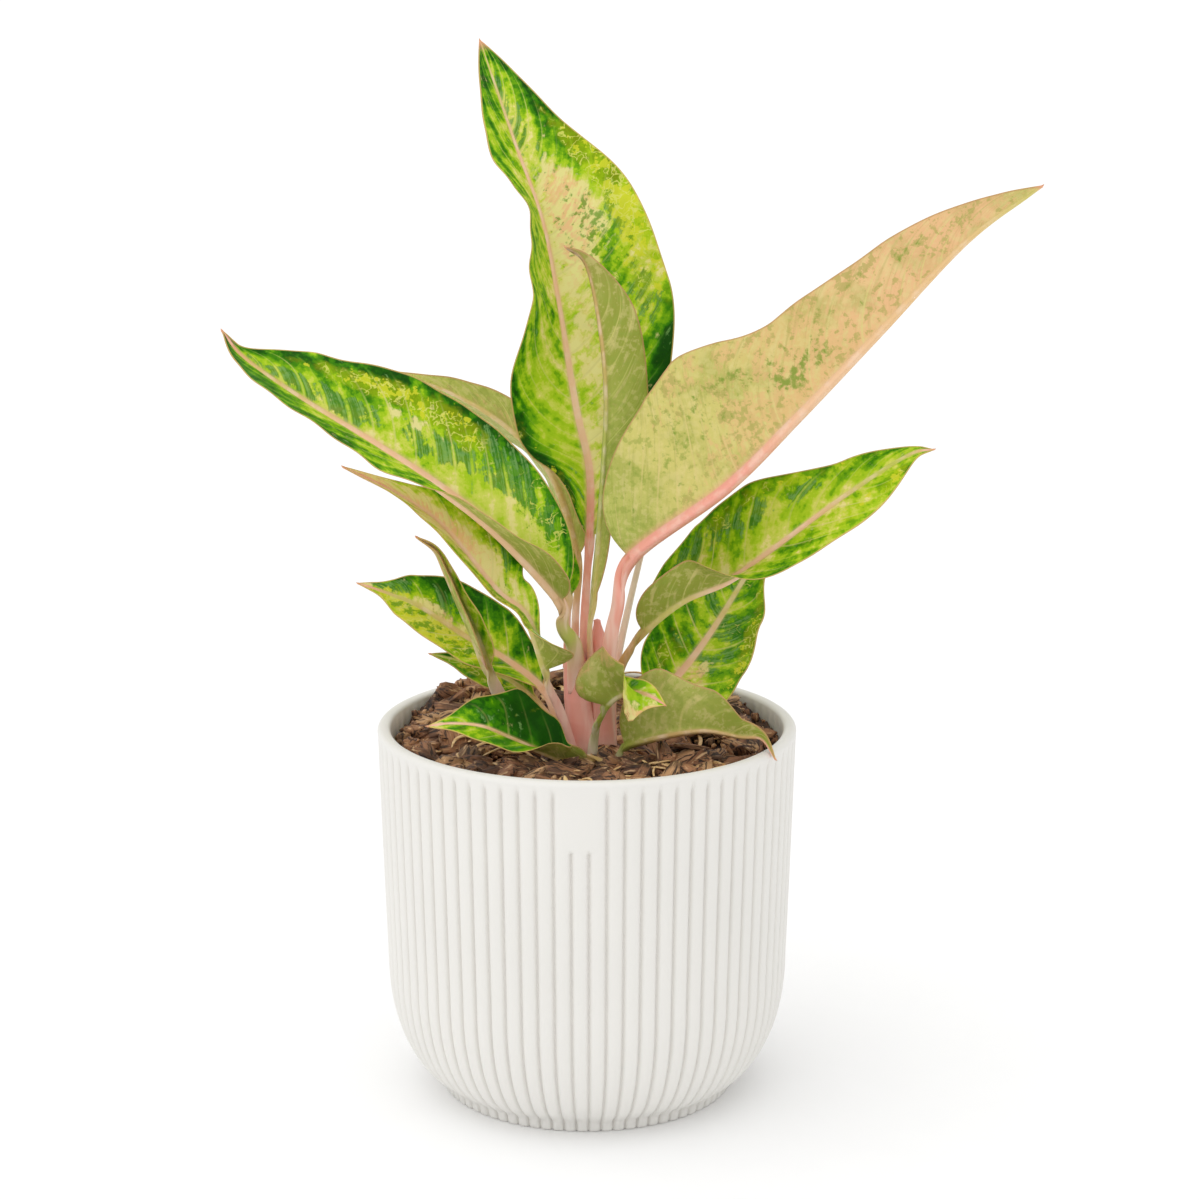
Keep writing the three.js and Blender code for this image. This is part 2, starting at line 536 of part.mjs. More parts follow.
// a loose chip of bark, a block that narrows towards its ends, laid on the mix at a chance place
function buildChip(random) {
  const between = ([low, high]) => low + (high - low) * random();
  const turn = random() * 2 * Math.PI;
  const reach = soil.chipReach * Math.sqrt(random());
  const [x, y] = [reach * Math.cos(turn), reach * Math.sin(turn)];
  const size = [soil.chipLength, soil.chipWidth, soil.chipHeight].map(between);
  const shape = new THREE.BoxGeometry(...size);
  const corners = shape.attributes.position;
  for (let index = 0; index < corners.count; index += 1) {
    const pinch = soil.chipEnds[corners.getX(index) > 0 ? 1 : 0];
    corners.setXYZ(index, corners.getX(index), corners.getY(index) * pinch, corners.getZ(index) * pinch);
  }
  const tilt = [-soil.chipTilt, soil.chipTilt];
  shape.rotateY(between(tilt)).rotateX(between(tilt)).rotateZ(random() * 2 * Math.PI);
  return solidFrom(shape.translate(x, y, soilHeight(x, y) + soil.chipRise));
}

function buildSoil(cutters) {
  const insideWall = innerProfile.slice(1).reverse();
  const sides = insideWall.map(([radius, z]) => ringAt(radius - soil.wallGap, z + clear, soil.columns));
  const top = soil.radii.map((radius) => {
    return ringAt(radius, 0, soil.columns).map((p) => p.setZ(soilHeight(p.x, p.y)));
  });
  const random = randomFrom(soil.seed);
  let solid = solidFrom(skin([...sides, ...top]));
  for (let chip = 0; chip < soil.chips; chip += 1) solid = solid.add(buildChip(random));
  const left = cutters.reduce((rest, cutter) => rest.subtract(cutter), solid);
  const bodies = left.decompose().sort((a, b) => b.volume() - a.volume());
  return geometryFrom(bodies[0]);     // crumbs that the holes cut off are dropped
}

// ---------- assembly ----------
function makeMesh(name, geometry, color, roughness) {
  const material = new THREE.MeshStandardMaterial({ color, roughness, metalness: 0 });
  const mesh = new THREE.Mesh(geometry, material);
  mesh.name = name;
  return mesh;
}

const plant = new THREE.Group();
const turnedPot = buildPot().rotateZ(THREE.MathUtils.degToRad(pot.turn));
plant.add(makeMesh('pot', turnedPot, 0xefefec, 0.6));
const cutters = Object.values(leaves).map((leaf) => solidFrom(buildLeaf(leaf, clear)));
plant.add(makeMesh('trunks', buildTrunks(cutters), 0xe8a79b, 0.45));
const trunkHole = solidFrom(buildTrunks([], clear));
plant.add(makeMesh('soil', buildSoil([...cutters, trunkHole]), 0x5a4030, 0.95));
for (const [name, leaf] of Object.entries(leaves)) {
  plant.add(makeMesh(name, buildLeaf(leaf), leaf.colour, 0.5));
}
export default plant;
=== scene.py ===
import math

import bpy
import numpy as np
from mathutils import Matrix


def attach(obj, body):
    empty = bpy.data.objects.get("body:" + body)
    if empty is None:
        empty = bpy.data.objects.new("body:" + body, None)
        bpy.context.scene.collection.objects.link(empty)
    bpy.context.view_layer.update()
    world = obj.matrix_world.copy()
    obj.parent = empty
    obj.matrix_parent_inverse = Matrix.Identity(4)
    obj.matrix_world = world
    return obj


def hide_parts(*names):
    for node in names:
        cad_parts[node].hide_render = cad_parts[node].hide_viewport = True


# A potted Chinese evergreen. Lengths are in millimetres here and become metres in the meshes.
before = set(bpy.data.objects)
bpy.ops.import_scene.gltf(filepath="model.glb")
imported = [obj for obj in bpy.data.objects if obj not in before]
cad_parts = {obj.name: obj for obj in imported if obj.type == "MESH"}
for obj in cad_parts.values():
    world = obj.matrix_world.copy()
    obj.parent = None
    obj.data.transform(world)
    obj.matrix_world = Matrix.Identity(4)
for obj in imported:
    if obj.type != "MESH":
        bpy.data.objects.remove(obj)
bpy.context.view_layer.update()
mm = 0.001
print("frame loaded,", len(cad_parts), "CAD nodes")


# numbers along a line

def ease(value, low, high):
    # 0 below low, 1 above high, and a smooth S between them
    share = np.clip((value - low) / (high - low), 0, 1)
    return share * share * (3 - 2 * share)


def mixed(first, second, share):
    # first at share 0, second at share 1, straight between them
    return first * (1 - share) + second * share


def along(stations, place):
    # value at each place from 0 to 1, eased between evenly spaced stations
    stations = np.asarray(stations, float)
    spot = np.clip(place, 0, 1) * (len(stations) - 1)
    index = np.clip(np.floor(spot).astype(int), 0, len(stations) - 2)
    part = ease(spot - index, 0, 1)
    if stations.ndim > 1:
        part = part[..., None]
    return mixed(stations[index], stations[index + 1], part)


def unit(vectors):
    # the same directions at length 1
    return vectors / np.linalg.norm(vectors, axis=-1, keepdims=True)


def dot(first, second):
    # sum of the products of their parts
    return (first * second).sum(-1, keepdims=True)


def curveThrough(points, place):
    # Catmull-Rom curve through the points, place from 0 to 1; beyond each end the last step is mirrored
    points = np.asarray(points, float)
    padded = np.vstack([2 * points[0] - points[1], points, 2 * points[-1] - points[-2]])
    spot = np.clip(place, 0, 1) * (len(points) - 1)
    index = np.minimum(spot.astype(int), len(points) - 2)
    t = (spot - index)[:, None]
    before, start, end, after = (padded[index + shift] for shift in range(4))
    leave = (end - before) / 2
    arrive = (after - start) / 2
    centre = ((2 * t ** 3 - 3 * t ** 2 + 1) * start + (t ** 3 - 2 * t ** 2 + t) * leave
              + (3 * t ** 2 - 2 * t ** 3) * end + (t ** 3 - t ** 2) * arrive)
    tangent = ((6 * t ** 2 - 6 * t) * (start - end) + (3 * t ** 2 - 4 * t + 1) * leave
               + (3 * t ** 2 - 2 * t) * arrive)
    return centre, unit(tangent)


def lengthOf(points):
    # sum of the straight steps from point to point
    return np.linalg.norm(np.diff(np.asarray(points, float), axis=0), axis=1).sum()


def evenTurn(count):
    # even steps round a full turn
    return np.arange(count) / count * 2 * math.pi


# meshes

def makePiece(name, points, faces, material, marks=None):
    # faces is a list of whole number arrays, one row for each face; marks are named vectors at the points
    mesh = bpy.data.meshes.new(name)
    mesh.vertices.add(len(points))
    mesh.vertices.foreach_set("co", (points * mm).astype(np.float32).ravel())
    sizes = np.concatenate([np.full(len(group), group.shape[1]) for group in faces])
    corners = np.concatenate([group.ravel() for group in faces]).astype(np.int32)
    mesh.loops.add(len(corners))
    mesh.loops.foreach_set("vertex_index", corners)
    mesh.polygons.add(len(sizes))
    mesh.polygons.foreach_set("loop_start", (np.cumsum(sizes) - sizes).astype(np.int32))
    mesh.polygons.foreach_set("use_smooth", np.ones(len(sizes), bool))
    for markName, values in (marks or {}).items():
        attribute = mesh.attributes.new(markName, "FLOAT_VECTOR", "POINT")
        attribute.data.foreach_set("vector", values.astype(np.float32).ravel())
    mesh.update(calc_edges=True)
    mesh.validate()
    mesh.materials.append(material)
    piece = bpy.data.objects.new(name, mesh)
    bpy.context.scene.collection.objects.link(piece)
    return piece


def tubeFaces(rows, columns):
    # quads between the rings of a closed tube; the rings run anticlockwise, seen from the last one
    row, column = np.meshgrid(np.arange(rows - 1), np.arange(columns), indexing="ij")
    beside = (column + 1) % columns
    quads = [row * columns + column, row * columns + beside]
    quads += [(row + 1) * columns + beside, (row + 1) * columns + column]
    return np.stack(quads, -1).reshape(-1, 4)


def endFaces(start, columns, centre, isLast):
    # a fan of triangles between the ring that begins at start and its centre point
    column = np.arange(columns)
    beside = (column + 1) % columns
    pair = [start + column, start + beside] if isLast else [start + beside, start + column]
    return np.stack([*pair, np.full(columns, centre)], -1)


def skinOver(rings, startPoint, endPoint):
    # points and faces of a closed skin over rings shaped (rows, columns, 3), with a point at each end
    rows, columns = rings.shape[:2]
    count = rows * columns
    points = np.vstack([rings.reshape(-1, 3), startPoint, endPoint])
    faces = [tubeFaces(rows, columns), endFaces(0, columns, count, False),
             endFaces(count - columns, columns, count + 1, True)]
    return points, faces


def spread(values):
    # values at the rings' points, and their mean over the first and the last ring for the two end points
    return np.vstack([values.reshape(-1, 3), values[0].mean(0), values[-1].mean(0)])


# shader helpers

def tint(red, green, blue):
    # a colour as seen, 0 to 255, turned into the light values that shaders mix
    share = np.array([red, green, blue]) / 255
    value = np.where(share <= 0.04045, share / 12.92, ((share + 0.055) / 1.055) ** 2.4)
    return (*value.tolist(), 1.0)


def newMaterial(name, roughness):
    # a material, its node tree and its one shader
    material = bpy.data.materials.new(name)
    material.use_nodes = True
    shader = material.node_tree.nodes["Principled BSDF"]
    shader.inputs["Roughness"].default_value = roughness
    return material, material.node_tree, shader


def plug(tree, socket, value):
    # a socket takes another node's output or a fixed value
    if isinstance(value, bpy.types.NodeSocket):
        tree.links.new(value, socket)
    else:
        socket.default_value = value


def calc(tree, kind, first, second=0.0, third=0.0):
    # one sum on values; MULTIPLY_ADD is first * second + third
    node = tree.nodes.new("ShaderNodeMath")
    node.operation = kind
    for socket, value in zip(node.inputs, (first, second, third)):
        plug(tree, socket, value)
    return node.outputs[0]


def blend(tree, share, first, second):
    # colour: first at share 0, second at share 1
    node = tree.nodes.new("ShaderNodeMix")
    node.data_type = "RGBA"
    node.clamp_factor = True
    plug(tree, node.inputs[0], share)
    plug(tree, node.inputs[6], first)
    plug(tree, node.inputs[7], second)
    return node.outputs[2]


def step(tree, value, low, high, bottom=0.0, top=1.0):
    # eased ramp from bottom to top while value goes from low to high
    node = tree.nodes.new("ShaderNodeMapRange")
    node.interpolation_type = "SMOOTHSTEP"
    for socket, item in zip(node.inputs, (value, low, high, bottom, top)):
        plug(tree, socket, item)
    return node.outputs[0]


def stretched(tree, vector, scales):
    # each part of the vector times its own scale
    node = tree.nodes.new("ShaderNodeVectorMath")
    node.operation = "MULTIPLY"
    plug(tree, node.inputs[0], vector)
    node.inputs[1].default_value = scales
    return node.outputs[0]


def noise(tree, vector, scales, detail=2.0, roughness=0.5, distortion=0.0):
    # cloudy values about 0.5; a bigger scale makes smaller clouds
    node = tree.nodes.new("ShaderNodeTexNoise")
    plug(tree, node.inputs["Vector"], stretched(tree, vector, scales))
    node.inputs["Scale"].default_value = 1.0
    node.inputs["Detail"].default_value = detail
    node.inputs["Roughness"].default_value = roughness
    node.inputs["Distortion"].default_value = distortion
    return node.outputs[0]


def parts(tree, vector):
    # the three values of a vector
    node = tree.nodes.new("ShaderNodeSeparateXYZ")
    plug(tree, node.inputs[0], vector)
    return node.outputs[:]


def joined(tree, first, second, third):
    # a vector of three values
    node = tree.nodes.new("ShaderNodeCombineXYZ")
    for socket, value in zip(node.inputs, (first, second, third)):
        plug(tree, socket, value)
    return node.outputs[0]


def spots(tree, vector, scales, size, share):
    # round spots of the given size, in a share of the cells
    node = tree.nodes.new("ShaderNodeTexVoronoi")
    plug(tree, node.inputs["Vector"], stretched(tree, vector, scales))
    node.inputs["Scale"].default_value = 1.0
    chosen = calc(tree, "LESS_THAN", parts(tree, node.outputs["Color"])[0], share)
    inside = step(tree, node.outputs["Distance"], size * 0.6, size, 1.0, 0.0)
    return calc(tree, "MULTIPLY", chosen, inside)


def ramp(tree, value, stops):
    # a colour for each value, from a list of places and colours that starts at 0 and ends at 1
    node = tree.nodes.new("ShaderNodeValToRGB")
    elements = node.color_ramp.elements
    elements[0].color = tint(*stops[0][1])
    elements[1].color = tint(*stops[-1][1])
    for spot, colour in stops[1:-1]:
        elements.new(spot).color = tint(*colour)
    plug(tree, node.inputs[0], value)
    return node.outputs[0]


def swayed(tree, value, *noises):
    # the value with each noise added about its middle, times its own weight
    for item, weight in noises:
        value = calc(tree, "MULTIPLY_ADD", calc(tree, "SUBTRACT", item, 0.5), weight, value)
    return value


def markOf(tree, name):
    # the piece's own values, given to makePiece as marks
    node = tree.nodes.new("ShaderNodeAttribute")
    node.attribute_name = name
    return node.outputs["Vector"]


def objectPlace(tree):
    # place in the part's own frame, in metres
    return tree.nodes.new("ShaderNodeTexCoord").outputs["Object"]


def raised(tree, shader, height, distance, strength):
    # shading as if the surface stood out by height * distance
    node = tree.nodes.new("ShaderNodeBump")
    node.inputs["Distance"].default_value = distance
    node.inputs["Strength"].default_value = strength
    plug(tree, node.inputs["Height"], height)
    tree.links.new(node.outputs[0], shader.inputs["Normal"])


# camera, floor and light

studio = {
    "eye": (5.0, -1120, 461),   # worked out from the pot's rim and foot in the photograph
    "lookDown": 13.5,           # degrees
    "lens": 91.2,
    "sensor": 36,
    "skyStrength": 0.84,
    "sunStrength": 0.9,
    "sunSpread": 90,            # degrees; a broad source gives soft shadows
    "sunFrom": (-0.55, -0.3, 1.4),
    "floorSize": 60000,
}


def buildStudio():
    # an even white sky and a broad soft sun over a white floor, seen by the camera of the photograph
    scene = bpy.context.scene
    scene.view_settings.view_transform = "Standard"
    eye = bpy.data.cameras.new("photoCamera")
    eye.lens = studio["lens"]
    eye.sensor_width = studio["sensor"]
    eye.clip_end = 200
    camera = bpy.data.objects.new("photoCamera", eye)
    camera.location = [value * mm for value in studio["eye"]]
    camera.rotation_euler = (math.radians(90 - studio["lookDown"]), 0, 0)
    scene.collection.objects.link(camera)
    scene.camera = camera

    sky = bpy.data.worlds.new("studioSky")
    sky.use_nodes = True
    sky.node_tree.nodes["Background"].inputs["Color"].default_value = (1, 1, 1, 1)
    sky.node_tree.nodes["Background"].inputs["Strength"].default_value = studio["skyStrength"]
    scene.world = sky

    lamp = bpy.data.lights.new("softSun", "SUN")
    lamp.energy = studio["sunStrength"]
    lamp.angle = math.radians(studio["sunSpread"])
    sun = bpy.data.objects.new("softSun", lamp)
    x, y, z = studio["sunFrom"]
    sun.rotation_euler = (math.atan2(math.hypot(x, y), z), 0, math.atan2(y, x) + math.pi / 2)
    scene.collection.objects.link(sun)

    half = studio["floorSize"] / 2
    corners = np.array([[-half, -half, 0], [half, -half, 0], [half, half, 0], [-half, half, 0]], float)
    material, tree, shader = newMaterial("paperFloor", 0.9)
    grain = noise(tree, objectPlace(tree), (40, 40, 40))
    plug(tree, shader.inputs["Base Color"], blend(tree, grain, tint(252, 252, 252), tint(254, 254, 254)))
    shader.inputs["Specular IOR Level"].default_value = 0.0
    floor = makePiece("studioFloor", corners, [np.array([[0, 1, 2, 3]])], material)
    print("camera, floor and light ready")


buildStudio()

# the ribbed pot

pot = {
    "rimRadius": 80,
    "height": 144,
    "wall": 5,
    "floor": 6,
    "footRadius": 56.5,
    "footHeight": 5,
    "footFlare": 1,
    "footRound": (0.8, 0.3),    # how far the lowest two rows draw in
    "bowlHeight": 55,
    "bowlCurve": (2.4, 0.7),
    "sideRadius": 77.2,
    "sideEase": 0.9,
    "cornerBlend": 2.4,         # the outline is softened over this much height, up and down
    "ribs": 76,
    "turn": 0.75,               # degrees
    "ribColumns": (0, 0.035, 0.07, 0.11, 0.17, 0.28, 0.42, 0.58, 0.72, 0.83, 0.89, 0.93, 0.965),
    "grooveDepth": 1.8,
    "archShare": 0.5,           # how much of that depth is the rib's own roundness
    "grooveHalf": 0.17,         # half width of the narrow groove, as a share of a rib
    "footGroove": 0.7,          # how deep the grooves are at the very foot, as a share
    "ribFade": (137, 142.6),    # the grooves run out between these heights
    "panel": (55, 58),          # the plain panel lies between these grooves
    "panelFoot": 118,
    "panelBlend": 1.2,
    # the lip: share of the wall inwards, and drop below the top
    "lip": [[0, 1.8], [0.03, 1.2], [0.11, 0.6], [0.23, 0.2], [0.38, 0], [0.56, 0], [0.72, 0.05], [0.85, 0.3],
            [0.95, 0.75], [1, 1.4]],
    # radius and height down the inner wall to the floor
    "inside": [[74.9, 140], [74.75, 136], [74.5, 128], [73.9, 110], [72.8, 70], [67, 34], [55.5, 12],
               [52.5, 8], [45.5, 6]],
    "innerFlutes": (0.245, 0.35, 0.35),     # at the first of those heights; the mix covers the rest
    "glaze": ((229, 227, 222), (236, 234, 229)),
    # painted shade: a darker tint laid into the grooves, where shade falls
    "groovePaintedShade": (188, 182, 174),
    "grooveShade": 0.13,        # how much of that painted shade shows in the grooves
}


def crestRadius(z):
    # a short flared foot, a round bowl and a nearly upright side
    waist = pot["footRadius"] + pot["footFlare"]
    foot = mixed(pot["footRadius"], waist, z / pot["footHeight"])
    part = np.clip((z - pot["footHeight"]) / (pot["bowlHeight"] - pot["footHeight"]), 0, 1)
    steep, roundness = pot["bowlCurve"]
    bowl = mixed(waist, pot["sideRadius"], (1 - (1 - part) ** steep) ** roundness)
    up = np.clip((z - pot["bowlHeight"]) / (pot["height"] - pot["bowlHeight"]), 0, 1)
    side = mixed(pot["sideRadius"], pot["rimRadius"], up ** pot["sideEase"])
    return np.where(z < pot["footHeight"], foot, np.where(z < pot["bowlHeight"], bowl, side))


def softCrest(z):
    # the same outline with its corners rounded: a mean over nearby heights
    shifts = np.linspace(-1, 1, 13)
    weights = np.cos(shifts * math.pi / 2) + 0.05
    return (crestRadius(z[:, None] + shifts * pot["cornerBlend"]) * weights).sum(1) / weights.sum()


def ribbedSide(heights, ribPlace):
    # radius = outline - depth * (arch of the rib mixed with a narrow groove), over height and angle
    fromGroove = np.abs(ribPlace - np.round(ribPlace))
    left, right = pot["panel"]
    inPanel = (ribPlace > left) & (ribPlace < right)
    fromPanelEdge = np.minimum(np.minimum(ribPlace - left, right - ribPlace), 0.5)
    onPanel = ease(heights, pot["panelFoot"] - pot["panelBlend"], pot["panelFoot"] + pot["panelBlend"])
    apart = np.where(inPanel, mixed(fromGroove, fromPanelEdge, onPanel[:, None]), fromGroove[None, :])
    arch = (1 - 2 * apart) ** 2
    groove = 1 - ease(apart, 0, pot["grooveHalf"])
    fade = 1 - ease(heights, *pot["ribFade"])[:, None]
    footShare = mixed(pot["footGroove"], 1, ease(heights, 0, pot["footHeight"]))[:, None]
    depth = pot["grooveDepth"] * fade * footShare
    radius = softCrest(heights)[:, None] - depth * mixed(groove, arch, pot["archShare"])
    radius[:2] -= np.array(pot["footRound"])[:, None]
    # the second value is the groove share, which the material darkens as painted shade
    return radius, groove * fade


def buildPot():
    # rows run up the outside, over the lip and down the inner wall; they are closest where the shape turns
    heights = np.concatenate([
        [0.0, 0.25, 0.8, 1.8, 3], np.linspace(4, 16, 13), np.linspace(18, 55, 14), np.linspace(62, 114, 7),
        [116.5, 117.5, 118.5, 119.5, 121, 126, 131], np.linspace(134, 141.6, 8)])
    ribPlace = (np.arange(pot["ribs"])[:, None] + np.array(pot["ribColumns"])).ravel()
    turn = ribPlace / pot["ribs"] * 2 * math.pi + math.radians(pot["turn"])
    outside, groove = ribbedSide(heights, ribPlace)
    lip = np.array(pot["lip"])
    inside = np.array(pot["inside"])
    plain = np.ones(len(turn))
    lipRadius = (pot["rimRadius"] - pot["wall"] * lip[:, :1]) * plain
    insideRadius = inside[:, :1] * plain
    fluted = len(pot["innerFlutes"])
    insideRadius[:fluted] += np.array(pot["innerFlutes"])[:, None] * np.cos(2 * math.pi * ribPlace)
    radius = np.vstack([outside, lipRadius, insideRadius])
    height = np.concatenate([heights, pot["height"] - lip[:, 1], inside[:, 1]])[:, None] * plain
    rings = np.stack([radius * np.cos(turn), radius * np.sin(turn), height], -1)
    points, faces = skinOver(rings, np.array([0, 0, 0.0]), np.array([0, 0, pot["floor"]]))
    # the groove share goes to the material, which paints shade into the grooves
    inGroove = np.zeros(rings.shape)
    inGroove[:len(heights), :, 0] = groove
    piece = makePiece("ribbedPot", points, faces, matteCeramic(), {"groove": spread(inGroove)})
    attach(piece, "root")
    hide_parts("pot")
    print("pot made,", len(points), "points")


def matteCeramic():
    # clouds of two off-whites, with painted shade darkening the grooves
    material, tree, shader = newMaterial("matteCeramic", 0.5)
    cloud = noise(tree, objectPlace(tree), (16, 16, 16), 3)
    glaze = blend(tree, cloud, *(tint(*white) for white in pot["glaze"]))
    # painted shade in the grooves, by the groove share
    inGroove = parts(tree, markOf(tree, "groove"))[0]
    shade = calc(tree, "MULTIPLY", inGroove, pot["grooveShade"])
    glaze = blend(tree, shade, glaze, tint(*pot["groovePaintedShade"]))
    plug(tree, shader.inputs["Base Color"], glaze)
    shader.inputs["Specular IOR Level"].default_value = 0.3
    plug(tree, shader.inputs["Roughness"], step(tree, cloud, 0.3, 0.7, 0.45, 0.56))
    return material


buildPot()

# leaves

colours = {
    "lime": (196, 202, 96),
    "wheat": (218, 192, 122),
    "apricot": (232, 194, 138),
    "straw": (210, 200, 116),
    "peach": (240, 198, 158),
    "pink": (243, 168, 150),
    "rose": (242, 186, 172),
    "pale": (240, 222, 200),
    "tan": (204, 172, 110),
    "olive": (150, 158, 66),
    "sage": (180, 186, 94),
    "brown": (146, 114, 72),
    "bark": (160, 140, 82),
}

leafForm = {
    "thickness": 0.55,
    "edgeThickness": 0.3,
    "widthStations": (0.1, 0.3, 0.5, 0.7, 0.9),     # where a leaf's half widths are given, base to tip
    "baseRound": 0.55,
    "tipDraw": 0.9,
    "tip": 0.8,             # length of the point beyond the last ring
    "edgeLeast": 0.9,       # least blade beside the midrib
    "tipLeast": 0.15,
    "ribShare": 0.8,        # radius of the midrib, as a share of the stalk's
    "ribTaper": 0.8,
    "ribLeast": 0.25,
    "tipRib": 0.12,
    "ribMargin": 0.3,       # the keel runs out this far beside the midrib
    "gutter": 0.2,          # depth of the channel over the midrib, as a share of the keel
    "channel": 0.45,        # height of a stalk's upper half, as a share of its lower half
    "sink": 0.3,            # how far a stalk lies under its line, as a share of its radius
    "fullWaveWidth": 15,    # narrower leaves have lower waves
    "fullReliefWidth": 20,  # and lower quilting and ripples
    "veinStep": 8.5,        # between side veins along the midrib
    "veinSweep": 0.16,      # how far a side vein runs on towards the tip, as a share of the blade
    "quilting": 0.28,
    "rippleStep": 16,
    "ripple": 0.35,
    "rowStep": 1.4,
    "endRows": 0.45,        # how far the rows crowd towards base and tip
    "lastRow": 0.998,       # place of the last ring; the tip is a point
    "opening": 0.75,        # the stalk opens into the blade over this share of its last span
    "columnStep": 2.0,
    "marginColumns": 0.92,  # under 1 the columns crowd towards the margin
    "ribColumns": 4,
}

